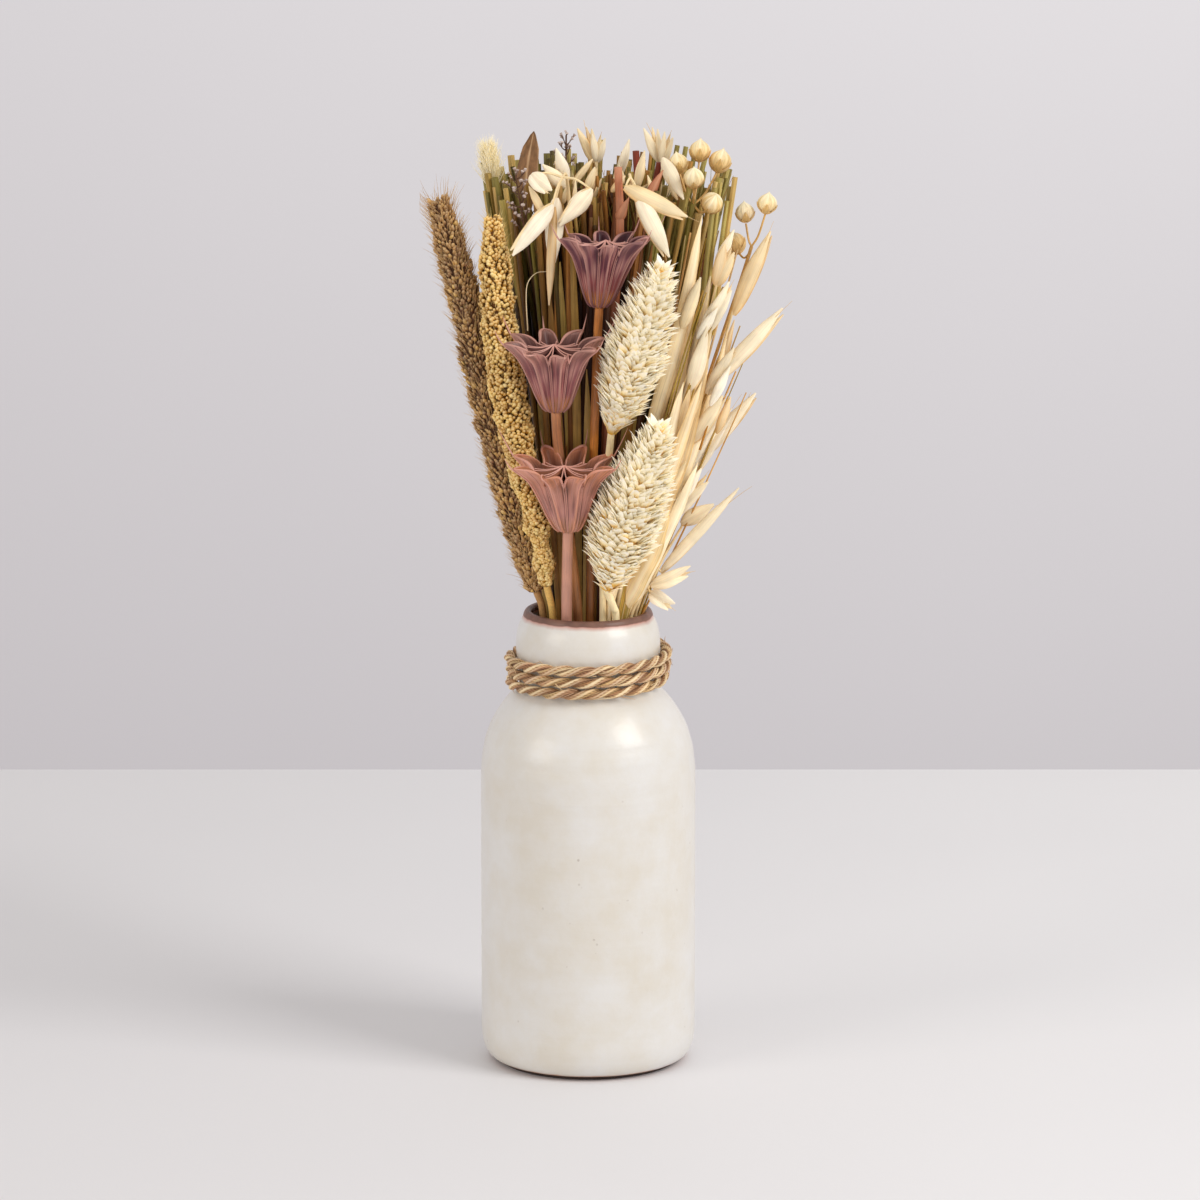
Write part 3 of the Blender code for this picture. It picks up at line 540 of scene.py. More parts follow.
class VaseLook(bpy.types.PropertyGroup):
    glaze: colour_of("Glaze", "Cream of the glaze where it lies thick", "#E2DFDB")
    shade: colour_of("Thin glaze", "Warmer cream where the glaze lies thin", "#DCD5C9")
    clay: colour_of("Bare clay", "Toasted clay of the lip", "#6B4A3F")
    ridge: length_of("Throwing ridge", "Height of the throwing ridges on the wall", 0.05)


class BUNCH_OT_vase(bpy.types.Operator):
    """Turns the vase: each ring is the outline's radius with throwing ridges, a sine of the height whose
    phase climbs once round the wall"""

    bl_idname = "bunch.vase"
    bl_label = "Vase"

    def execute(self, context):
        look = context.scene.vase_look
        outline = vase_outline()
        angle = circle(144)
        radius, height = outline[:, :1], outline[:, 1:]
        # The ridges fade out above the foot and below the shoulder
        wall = np.clip((height - 6) / 6, 0, 1) * np.clip((108 - height) / 6, 0, 1) * (radius > 30)
        ridge = look.ridge / MM * wall * np.sin(2 * math.pi * height / 6.4 + angle)
        r = radius + ridge - 0.05 * wall
        z = np.broadcast_to(height, r.shape)
        grid = np.stack([r * np.cos(angle), r * np.sin(angle), z], axis=-1)
        skin = closed(grid[None], np.zeros((1, 3)), np.array([[0.0, 0.0, 6.0]]), grid[None])
        piece("stoneware_bottle", [skin], glaze_material(look), "cream_glaze", "vase", angle=40)
        return {"FINISHED"}


# Rope

# The cord's radius, its gap to the neck, its turns, how much each climbs and the height of the first end
CORD_RADIUS = 1.72
CORD_GAP = 0.3
CORD_TURNS = 3
CORD_PITCH = 3.62
CORD_START = 117.0
# How far a strand lies off the cord's middle, and the length in which its flat strips wind round it once
STRAND_OFFSET = 0.7
STRIP_LAY = 19
LOOSE_FIBRES = 130
ROPE_ROWS = 1000


class RopeLook(bpy.types.PropertyGroup):
    light: colour_of("Light fibre", "Straw-coloured seagrass fibre", "#D0AE80")
    brown: colour_of("Brown fibre", "Tanned seagrass fibre", "#A67E5C")
    lay: length_of("Lay", "Length of one full twist of the two strands", 13.0)
    strand: length_of("Strand radius", "Radius of each of the two strands", 1.04)


def rope_path(count):
    """Turns round the neck: the radius is the widest outline within a cord's radius, plus the gap and the
    cord's own radius, and the height climbs one pitch a turn."""
    t = np.linspace(0, 1, count)
    angle = math.pi / 2 + 2 * math.pi * CORD_TURNS * t
    z = CORD_START + CORD_TURNS * CORD_PITCH * t
    outline = vase_outline()
    outside = outline[: np.argmax(outline[:, 1]) + 1]
    levels = np.linspace(114.5, COLLAR[1], 60)
    neck = np.interp(levels, outside[:, 1], outside[:, 0])
    heights = np.linspace(z[0], z[-1], 60)
    near = np.array([neck[np.abs(levels - height) < CORD_RADIUS].max() for height in heights])
    radius = np.interp(z, heights, near) + (CORD_GAP + CORD_RADIUS)
    return np.column_stack([radius * np.cos(angle), radius * np.sin(angle), z])


def rope_strands(path, radius, lay):
    """Two strands turn round the path half a twist apart. Five flat strips wind round each strand as the rope
    does, each with its own height, and the seams between them are cut in as the fifth power of a cosine."""
    length = run_length(path)
    side, up, _ = axes_along(path, UP)
    phi = circle(18)
    rows = []
    for strand in range(2):
        turn = -2 * math.pi * length / lay + math.pi * strand
        out = np.cos(turn)[:, None] * side + np.sin(turn)[:, None] * up
        middle = path + STRAND_OFFSET * out
        swell = 1 + 0.05 * np.sin(length / 5.1 + strand) + 0.04 * np.sin(length / 2.3 + 2 * strand)
        strip = phi[None] + (2 * math.pi * length / STRIP_LAY)[:, None]
        number = np.floor(2.5 * strip / math.pi)
        seam = np.abs(np.cos(2.5 * strip))
        rib = 1 - 0.17 * seam**5 + 0.09 * np.sin(number * 1.9 + length[:, None] / 7)
        r = radius * swell[:, None] * rib
        across, above, _ = axes_along(middle, UP)
        ring = np.cos(phi)[:, None] * across[:, None] + np.sin(phi)[:, None] * above[:, None]
        ring = r[..., None] * ring
        facing = (ring * out[:, None]).sum(-1) / radius
        tint = 0.5 + 0.5 * np.sin(number * 2.4 + 0.9 * np.sin(length / 11 + strand)[:, None] + strand)
        # Painted shade: darker on the side of each strand that faces the other, and in the seams between
        # strips
        shade = np.clip(0.5 + 0.34 * facing - 0.5 * seam**8, 0.02, 0.74)
        grain = np.broadcast_arrays(r * np.cos(strip), r * np.sin(strip), length[:, None])
        grain = np.stack(grain, axis=-1)
        rows.append((middle[:, None] + ring, middle[0], middle[-1], grain, tint, shade))
    return closed(*(np.array(item) for item in zip(*rows)))


def rope_fibres(path, rng):
    """Loose fibres that lift off the rope and bend along it."""
    side, up, along = axes_along(path, UP)
    at = rng.integers(20, ROPE_ROWS - 40, LOOSE_FIBRES)
    turn = rng.uniform(0, 2 * math.pi, LOOSE_FIBRES)
    out = np.cos(turn)[:, None] * side[at] + np.sin(turn)[:, None] * up[at]
    start = path[at] + 1.5 * out
    reach = rng.uniform(1.5, 6, LOOSE_FIBRES)[:, None]
    lift = rng.uniform(0.1, 1.2, LOOSE_FIBRES)[:, None] * np.where((out @ UP) < 0, 0.4, 1.0)[:, None]
    way = along[at] * rng.choice([-1, 1], LOOSE_FIBRES)[:, None]
    lean = unit(way + rng.normal(0, 0.35, (LOOSE_FIBRES, 1)) * UP)
    hair = hairs(start, reach * lean, lift * out, 5, 1.6)
    size = np.array([0.14, 0.13, 0.1, 0.08, 0.03])
    return tubes(hair, size, 4, tint=rng.random(LOOSE_FIBRES)[:, None], shade=0.6)


class BUNCH_OT_rope(bpy.types.Operator):
    """Lays the rope's two strands and its loose fibres"""

    bl_idname = "bunch.rope"
    bl_label = "Rope"

    def execute(self, context):
        look = context.scene.rope_look
        path = rope_path(ROPE_ROWS)
        strands = rope_strands(path, look.strand / MM, look.lay / MM)
        skins = [strands, rope_fibres(path, np.random.default_rng(3))]
        # Twisted seagrass: flat dry fibres with a dull sheen, straw to tan, and deep brown painted shade
        # where they meet
        mat = dry_plant(
            "twisted_seagrass",
            ("#5A3A28", look.brown, "#BC9274", look.light, "#E4CCA6", "#F0DEC0"),
            fibre=(0.22, 4.0),
            relief=0.08,
            streaks=0.5,
            Roughness=0.72,
        )
        piece("seagrass_rope", skins, mat, "seagrass", "neck_rope")
        return {"FINISHED"}


# Millet

# Places up the head, its radii from foot to tip, a grain's size, how far it leans outward, its shades from
# root to tip (dark at the root as painted shade where the grains overlap), the shortest and the longest
# bristle, and their number
Spike = namedtuple("Spike", "head radii grain lift tones reach bristles")
BROWN_SPIKE = Spike(
    [(-15.6, -5.4, 147), (-20.8, -5.0, 167), (-28.6, -5.0, 198), (-37.0, -6.0, 236), (-44.6, -7.0, 266)],
    np.array([1.3, 2.8, 3.4, 3.6, 3.6, 3.5, 3.2, 1.9]) + 0.9,
    np.array([1.15, 1.05, 2.0]),
    0.75,
    (0.2, 0.82),
    (2.6, 5.6),
    2600,
)
GOLDEN_SPIKE = Spike(
    [(-12.4, -12.2, 150), (-15.4, -13.4, 170), (-21.4, -13.6, 196), (-26.2, -13.2, 226), (-28.4, -13.6, 262)],
    np.array([0.8, 2.3, 1.4, 3.3, 2.4, 4.0, 3.7, 4.5, 4.4, 4.5, 4.3, 4.0, 3.4, 1.6]) + 0.35,
    np.array([1.4, 1.34, 1.54]),
    1.1,
    (0.0, 0.3, 1.0),
    (1.4, 2.9),
    1800,
)
# No bristle reaches further left than this
LEFTMOST = -50.2


class MilletLook(bpy.types.PropertyGroup):
    brown_count: count_of("Brown grains", "Grains on the brown spike", 2300)
    golden_count: count_of("Golden grains", "Grains on the golden spike", 3400)
    brown: colour_of("Brown grain", "Middle colour of the brown spike", "#A47E58")
    golden: colour_of("Golden grain", "Middle colour of the golden spike", "#E2B978")


def spike_grains(spike, count, rng):
    """Grains that stand up and outward from a spike: a grain's direction is along + lift outward, and its
    size varies by a quarter."""
    # The grain's root is painted dark as shade where the grains overlap
    grain = seed((0.12, 0.42, 0.8), (0.34, 0.5, 0.3), 6, 0.86, spike.tones)
    point, outward, along, radius, share = on_head(spike.head, spike.radii, count, rng)
    radius = radius * (1 + 0.1 * np.sin(share * 70 + 2 * np.sin(share * 23))) + rng.normal(0, 0.12, count)
    forward = unit(along + spike.lift * outward + rng.normal(0, 0.16, (count, 3)))
    sizes = spike.grain * rng.uniform(0.75, 1.25, (count, 1)) * rng.uniform(0.92, 1.08, (count, 3))
    patch = 0.16 * np.sin(31 * share + 4 * outward[:, 0]) + 0.35 * np.clip(0.45 - share, 0, 1)
    tint = np.clip(rng.normal(0.42, 0.28, count) + patch, 0, 1)
    return copies(grain, point + outward * (radius[:, None] - 0.5), forward, outward, sizes, tint)


def spike_bristles(spike, rng):
    """Bristles between the grains, longest at the tip, each bent as the square of its length."""
    count = spike.bristles
    point, outward, along, radius, share = on_head(spike.head, spike.radii, count, rng, 0.6)
    reach = rng.uniform(*spike.reach, (count, 1)) * (1 + 0.6 * share[:, None] ** 8)
    lean = rng.uniform(0.35, 0.85, (count, 1))
    forward = unit(along + lean * outward + rng.normal(0, 0.12, (count, 3)))
    start = point + outward * radius[:, None] * 0.9
    bend = rng.normal(0, 0.12, (count, 3)) * reach
    path = hairs(start, forward * reach, bend, 4)
    path[..., 0] = np.maximum(path[..., 0], LEFTMOST)
    size = np.array([0.09, 0.075, 0.055, 0.02])
    return tubes(path, size, 3, tint=rng.uniform(0.3, 1, (count, 1)), shade=0.6)


def spike_skins(spike, count, name, stem_tint, rng):
    """A millet spike on its stem: a core painted dark as the shade between the grains, its grains and its
    bristles.
    """
    core = tubes(smooth(spike.head, 60), stretch(spike.radii, 60) * 0.86, 10, tint=0.0, shade=spike.tones[0])
    stem = tubes(stem_path(MOUTH[name], spike.head[0]), 1.1, 8, tint=stem_tint)
    return [core, spike_grains(spike, count, rng), spike_bristles(spike, rng), stem]


class BUNCH_OT_millet(bpy.types.Operator):
    """Builds the brown bristly spike and the golden one, grain by grain, each on its stem"""

    bl_idname = "bunch.millet"
    bl_label = "Foxtail millet"

    def execute(self, context):
        look = context.scene.millet_look
        rng = np.random.default_rng(5)
        # Dry millet chaff: matt brown husks with a few straw-coloured ones, and painted shade where they
        # overlap
        mat = dry_plant(
            "dry_millet_chaff",
            ("#4A3220", "#84604A", look.brown, "#BC9468", "#DDB878", "#E0C8A0"),
            fibre=(0.25, 1.2),
            Roughness=0.75,
        )
        skins = spike_skins(BROWN_SPIKE, look.brown_count, "brown_foxtail_millet", 0.6, rng)
        keep_clear(BROWN_SPIKE.head, 4.6)
        piece("brown_millet_spike", skins, mat, "brown_seed", "brown_foxtail_millet")

        # Ripe millet grain: smooth golden beads with a slight gloss, and deep amber painted shade between
        # them
        mat = dry_plant(
            "ripe_millet_grain",
            ("#70481E", "#B4823E", look.golden, "#E8C67E", "#F4DCA2", "#F6E0B0"),
            fibre=(0.3, 0.6),
            relief=0.02,
            streaks=0.25,
            Roughness=0.55,
        )
        skins = spike_skins(GOLDEN_SPIKE, look.golden_count, "golden_foxtail_millet", 0.4, rng)
        keep_clear(GOLDEN_SPIKE.head, 4.8)
        piece("golden_millet_spike", skins, mat, "golden_seed", "golden_foxtail_millet")
        return {"FINISHED"}


# Seed pods

# Shares: of the height, of the reach, of the radius lost between two carpels, and of the reach that the edge
# sags
POD_TABLE = np.column_stack(
    [
        (0.0, 0.07, 0.25, 0.5, 0.78, 1.0),
        (0.13, 0.25, 0.38, 0.52, 0.71, 1.0),
        (0.06, 0.14, 0.22, 0.28, 0.36, 0.46),
        (0.0, 0.0, 0.0, 0.02, 0.12, 0.3),
    ]
)
# Bend points of the stem, foot, mouth, reach, squash of the back, stem radius, turn in degrees, stem shade
# and how much the mouth rises toward the back
Pod = namedtuple("Pod", "bend base top reach squash stem turn stem_shade tilt")
PODS = {
    "seed_pod_upper": Pod(
        bend=[(1.0, -10.4, 166), (2.6, -13.6, 218)],
        base=np.array((3.4, -17.6, 235.8)),
        top=np.array((5.4, -20.8, 257.3)),
        reach=14.0, squash=0.7, stem=1.4, turn=8.6, stem_shade=0.56, tilt=0.05,
    ),
    "seed_pod_middle": Pod(
        bend=[(-5.6, -12.0, 166), (-8.8, -13.6, 192)],
        base=np.array((-9.6, -20.4, 204.6)),
        top=np.array((-10.1, -24.0, 226.6)),
        reach=15.4, squash=0.65, stem=1.55, turn=11.5, stem_shade=0.62, tilt=0.2,
    ),
    "seed_pod_lower": Pod(
        bend=[(-6.3, -16.5, 153)],
        base=np.array((-6.0, -21.5, 168.4)),
        top=np.array((-7.2, -25.0, 190)),
        reach=16.4, squash=0.95, stem=1.7, turn=22.5, stem_shade=0.74, tilt=0.16,
    ),
}
# Rows of the wall outside and inside, and of a rib
OUTER_ROWS = 40
INNER_ROWS = 22
RIB_ROWS = 22
CARPELS = 8
# Offset from a rib, radius and shade of the veins on each flank and of the double seam between two carpels
VEINS = (
    (0.16, 0.15, 0.62),
    (-0.16, 0.15, 0.62),
    (math.pi / CARPELS + 0.045, 0.2, 0.76),
    (math.pi / CARPELS - 0.045, 0.2, 0.76),
)
RIB_FACE = UP * 0.4 + FRONT


class PodLook(bpy.types.PropertyGroup):
    plum: colour_of("Plum wall", "Wall of the highest pod", "#6C3A44")
    mauve: colour_of("Mauve wall", "Wall of the middle pod", "#8A5557")
    copper: colour_of("Copper wall", "Wall of the lowest pod", "#BA887A")
    rib: colour_of("Rib", "Pale pink of the ribs and curled edges", "#D8A89C")
    wall: length_of("Wall", "Thickness of the pod's wall at a rib", 0.8)


def valley_way(angles, turn):
    """How far each angle is from a rib (0) to a valley (1), with one of each to a carpel."""
    return 2 * np.abs(((angles - turn) * CARPELS / 2 / math.pi + 0.5) % 1 - 0.5)


def pod_grid(pod, heights, angles, inset):
    """Points of a pod's wall at shares of the height and angles: radius = reach share (1 - dip), where the
    dip grows as the sine of the way from a rib to a valley, the back is squashed, and the edge stays up in a
    round lobe and then sags as the cube of that way. The mouth rises toward the back by the tilt."""
    table = smooth(POD_TABLE, 200)
    share, dips, sags = (np.interp(heights, table[:, 0], table[:, k])[:, None] for k in (1, 2, 3))
    heights = heights[:, None]
    way = valley_way(angles, pod.turn)
    dip = np.sin(way * math.pi / 2)[None] ** (1.0 + 0.5 * heights**2)
    crinkle = 0.009 * pod.reach * np.sin(27 * angles + 7 * heights) * heights**2
    r = pod.reach * share * (1 - dips * dip) + crinkle - inset * (1.6 - 0.9 * dip)
    x, y = r * np.cos(angles), r * np.sin(angles)
    y = np.where(y > 0, y * pod.squash, y)
    centre = pod.base + (pod.top - pod.base) * heights
    z = centre[:, 2:] - sags * pod.reach * way**3 + pod.tilt * (y + 2) * heights**3
    return np.stack([centre[:, :1] + x, centre[:, 1:2] + y, z], axis=-1)


def pod_wall(pod, angles, wall):
    """The pod's wall, outside and inside in one skin. Painted shade darkens a fold's two flanks toward the
    groove beside each seam and toward the valley, and they lighten toward the edge. Painted shade darkens the
    inside as it goes deeper. The tint runs up the pod."""
    way = valley_way(angles, pod.turn)
    outside = np.linspace(0, 1, OUTER_ROWS)
    inside = np.linspace(0.985, 0.45, INNER_ROWS)
    grid = np.concatenate([pod_grid(pod, outside, angles, 0.0), pod_grid(pod, inside, angles, wall)])
    up = np.concatenate([outside, np.linspace(1.0, 0.3, INNER_ROWS)])[:, None]
    groove = np.exp(-(((way - 0.84) / 0.13) ** 2)) + 0.6 * np.exp(-(((way - 0.2) / 0.1) ** 2))
    stain = 0.1 * np.sin(5 * angles + 9 * up) + 0.07 * np.sin(11 * angles - 14 * up)
    edge = 0.08 * np.clip((up - 0.72) / 0.28, 0, 1)
    shade = 0.74 - 0.6 * groove * (1 - 0.35 * up) - 0.26 * way + edge + stain
    # Painted shade inside: darker the deeper it goes
    shade[OUTER_ROWS:] = 0.4 - 0.4 * np.linspace(0, 1, INNER_ROWS)[:, None] ** 0.5
    tint = np.broadcast_to(np.interp(up, (0, 0.12, 0.28, 0.62, 1), (0, 0.07, 0.33, 0.67, 1)), shade.shape)
    length = np.linalg.norm(pod.top - pod.base) * up
    x, y = pod.reach * np.cos(angles), pod.reach * np.sin(angles)
    grain = np.stack(np.broadcast_arrays(x, y, length), axis=-1)
    hub = pod.base + (pod.top - pod.base) * 0.42
    return closed(grid[None], pod.base[None], hub[None], grain[None], tint[None], shade[None])


def pod_ribs(pod, rng):
    """A raised rib up each carpel, which runs out into a thin beak, short in front and long at the sides, and
    the finer veins and seams beside it."""
    ridge = pod.turn + circle(CARPELS)
    rise = np.linspace(0.02, 1, RIB_ROWS)
    ribs = pod_grid(pod, rise, ridge, -0.1).transpose(1, 0, 2)
    tip = unit(ribs[:, -1] - ribs[:, -3]) + 0.35 * UP
    reach = (0.9 + 3.2 * np.cos(ridge) ** 2 + 1.4 * (np.sin(ridge) > 0))[:, None]
    reach = reach * rng.uniform(0.7, 1.3, (CARPELS, 1))
    beak = ribs[:, -1:] + (tip * reach)[:, None] * np.linspace(0.3, 1, 4)[None, :, None]
    beak[:, :, 2] += np.array([0.0, 0.1, 0.3, 0.8])
    ribs = np.concatenate([ribs, beak], axis=1)
    sizes = np.concatenate([np.linspace(0.38, 0.24, RIB_ROWS), (0.22, 0.17, 0.12, 0.04)])
    skins = [tubes(ribs, sizes, 6, RIB_FACE, tint=0.9, shade=np.linspace(0.56, 0.88, RIB_ROWS + 4))]
    for offset, size, tone in VEINS:
        veins = pod_grid(pod, rise, ridge + offset, 0.0).transpose(1, 0, 2)
        skins.append(tubes(veins, size, 5, RIB_FACE, tint=0.6, shade=tone))
    return skins


def pod_lip(pod, angles, wall):
    """The mouth's edge, which curls over into a thin pale lip of uneven radius."""
    around = np.append(angles, angles[0] + 2 * math.pi)
    lip = pod_grid(pod, np.array([1.0]), around, wall * 0.4)[0]
    curl = 0.32 + 0.12 * np.sin(7 * around) + 0.1 * np.sin(17 * around)
    return tubes(lip, curl, 6, UP, tint=1.0, shade=0.74 + 0.14 * np.sin(11 * around))


def pod_chambers(pod, wall):
    """Thin walls between the chambers: two from each valley to the middle, which sag between as a sine, each
    with a pale edge, and darkened deep in the pod by painted shade."""
    skins = []
    across = np.linspace(0.0, 0.96, 9)[:, None, None]
    low = pod.base + (pod.top - pod.base) * 0.4
    high = pod.base + (pod.top - pod.base) * 0.97 - UP * pod.tilt
    foot = np.linspace(low, high, 4)[None]
    sag = UP * 0.7 * np.sin(math.pi * across) * np.array([0, 0.4, 0.8, 1])[None, :, None]
    for k in range(2 * CARPELS):
        edge = np.array([pod.turn + 2 * math.pi * (k // 2 + 0.5 + (0.13 if k % 2 else -0.13)) / CARPELS])
        rim = pod_grid(pod, np.array([0.4, 0.62, 0.82, 0.985]), edge, wall)[None, :, 0]
        web = foot * (1 - across) + rim * across - sag
        # Painted shade: the chamber walls are darkest deep in the pod
        skins.append(sheet(web, 0.2, tint=0.9, shade=np.array([0.0, 0.08, 0.2, 0.42])[None]))
        skins.append(tubes(web[:, -1], 0.19, 5, UP, tint=0.9, shade=0.92))
    return skins


def pod_skins(pod, name, wall, rng):
    """A pod and its fluted stem, which painted shade darkens down among the straws."""
    pod = pod._replace(turn=math.radians(pod.turn))
    angles = pod.turn + circle(192)
    path = stem_path(MOUTH[name], *pod.bend, pod.base, pod.base + 0.1 * (pod.top - pod.base))
    tone = pod.stem_shade * np.interp(path[:, 2] - pod.base[2], (-70, -35), (0.3, 1.0))
    size = np.linspace(pod.stem, pod.stem * 0.92, len(path))
    stem = tubes(path, size, 18, tint=0.1, shade=tone, flute=0.09)
    keep_clear(path, pod.stem)
    keep_clear([pod.base, (pod.base + pod.top) / 2, pod.top], (3.0, pod.reach * 0.6, pod.reach))
    lip = pod_lip(pod, angles, wall)
    return [pod_wall(pod, angles, wall), *pod_ribs(pod, rng), lip, *pod_chambers(pod, wall), stem]


class BUNCH_OT_pods(bpy.types.Operator):
    """Builds the three star pods: ribbed bells of eight carpels with beaks, veins, lips and chamber walls"""

    bl_idname = "bunch.pods"
    bl_label = "Seed pods"

    def execute(self, context):
        look = context.scene.pod_look
        rng = np.random.default_rng(7)
        # Woody pod wall: smooth and a little waxy, purple or copper by age, orange at the foot where it was
        # shaded, nearly black painted shade in the grooves and deep inside, pink on ribs, seams and curled
        # edges. Slot and finish, then the painted shade of grooves and hollows, and the foot, lower, middle
        # and upper wall.
        walls = {
            "seed_pod_upper": ("mauve", "plum", "#240C12", "#E29E5A", "#935250", look.plum, "#664048"),
            "seed_pod_middle": ("mauve", "mauve", "#34181A", "#D09862", "#935A5A", look.mauve, "#A27A70"),
            "seed_pod_lower": ("copper", "copper", "#452014", "#BA8A66", "#AE7E78", look.copper, "#C68A6E"),
        }
        for name, (slot, finish, *wall) in walls.items():
            mat = dry_plant(
                finish + "_pod_wall",
                (*wall, look.rib),
                fibre=(0.3, 6.0),
                relief=0.07,
                streaks=0.4,
                Roughness=0.42,
                Subsurface_Weight=0.05,
                Subsurface_Scale=0.001,
            )
            skins = pod_skins(PODS[name], name, look.wall / MM, rng)
            piece(name.replace("seed", "star"), skins, mat, slot + "_pod", name, angle=70)
        return {"FINISHED"}


# Canary grass

# Bend points of the stem, places up the head, and the stem's radius, the head's and its share of the bracts
CANARY = {
    "canary_grass_lower": (
        [(7.6, -14.6, 144)], [(5.6, -19.5, 150), (11.8, -25.4, 174), (20.6, -28.0, 199)], 1.15, 8.8, 1.0
    ),
    "canary_grass_upper": (
        [(4.8, -11.4, 172)], [(6.9, -21.0, 198), (14.0, -25.4, 223), (21.0, -26.8, 246.5)], 1.1, 7.4, 0.9
    ),
}


class CanaryLook(bpy.types.PropertyGroup):
    cream: colour_of("Bract", "Cream of the bracts", "#FDEDC8")
    # The gold is the bracts' own root colour, and it also stands as painted shade in the gaps between them
    gold: colour_of("Bract root", "Gold where a bract tucks under the next", "#E8B65A")
    count: count_of("Bracts", "Bracts on the larger head", 2050)


def bract_seed():
    """A keeled bract, whose tip flares outward as the square of its length."""
    # Shade from root to tip: the gold root doubles as painted shade where a bract tucks under the next
    bract = seed((0.04, 0.32, 0.6, 0.84), (0.28, 0.5, 0.42, 0.2), 5, 0.4, (0.0, 0.12, 0.6, 0.9, 1.0))
    bract.points[:, 1] += 1.5 * bract.points[:, 2] ** 2
    return bract


def canary_skins(head, radii, count, rng):
    """A plump core, narrower and paler at its foot and darker gold above as painted shade between the bracts,
    and bracts that overlap upward over it: a bract's direction is along + 0.36 outward."""
    share = np.linspace(0, 1, 40)
    core = stretch(radii, 40) * np.interp(share, (0, 0.12, 0.3), (0.4, 0.62, 0.84))
    tone = np.interp(share, (0.05, 0.2), (0.85, 0.25))
    skins = [tubes(smooth(head, 40), core, 14, tint=0.6, shade=tone)]
    point, outward, along, radius, _ = on_head(head, radii, count, rng)
    forward = unit(along + 0.36 * outward + rng.normal(0, 0.15, (count, 3)))
    sizes = np.array([3.0, 1.35, 6.3]) * rng.uniform(0.65, 1.2, (count, 1))
    origin = point + outward * (radius[:, None] - 1.8 + rng.normal(0, 0.3, (count, 1)))
    return skins + [copies(bract_seed(), origin, forward, outward, sizes, rng.random(count))]


class BUNCH_OT_canary(bpy.types.Operator):
    """Builds the two canary-grass heads, each on its stem"""

    bl_idname = "bunch.canary"
    bl_label = "Canary grass"

    def execute(self, context):
        look = context.scene.canary_look
        rng = np.random.default_rng(9)
        # Papery bract: thin and translucent, cream with a green cast and white at the tip
        mat = dry_plant(
            "papery_bract",
            (look.gold, "#FCE6B4", look.cream, "#FEF1D0", "#FFF7E2", "#FFFAEC"),
            fibre=(0.2, 2.5),
            streaks=0.2,
            Roughness=0.7,
            Specular_IOR_Level=0.25,
            **THIN,
        )
        for name, (bend, head, stem, plump, share) in CANARY.items():
            # The radius rises and falls as a sine of the length
            radii = plump * np.sin(math.pi * np.linspace(0.05, 0.96, 12) ** 0.87) ** 0.8
            skins = canary_skins(head, radii, int(look.count * share), rng)
            path = stem_path(MOUTH[name], *bend, head[0])
            skins.append(tubes(np.vstack([path, smooth(head, 40)[2:4]]), stem, 8, tint=0.3, shade=0.45))
            keep_clear(path, stem)
            keep_clear(head, radii + 2.5)
            piece(name.replace("grass", "head"), skins, mat, "cream_bract", name)
        return {"FINISHED"}


# Oats

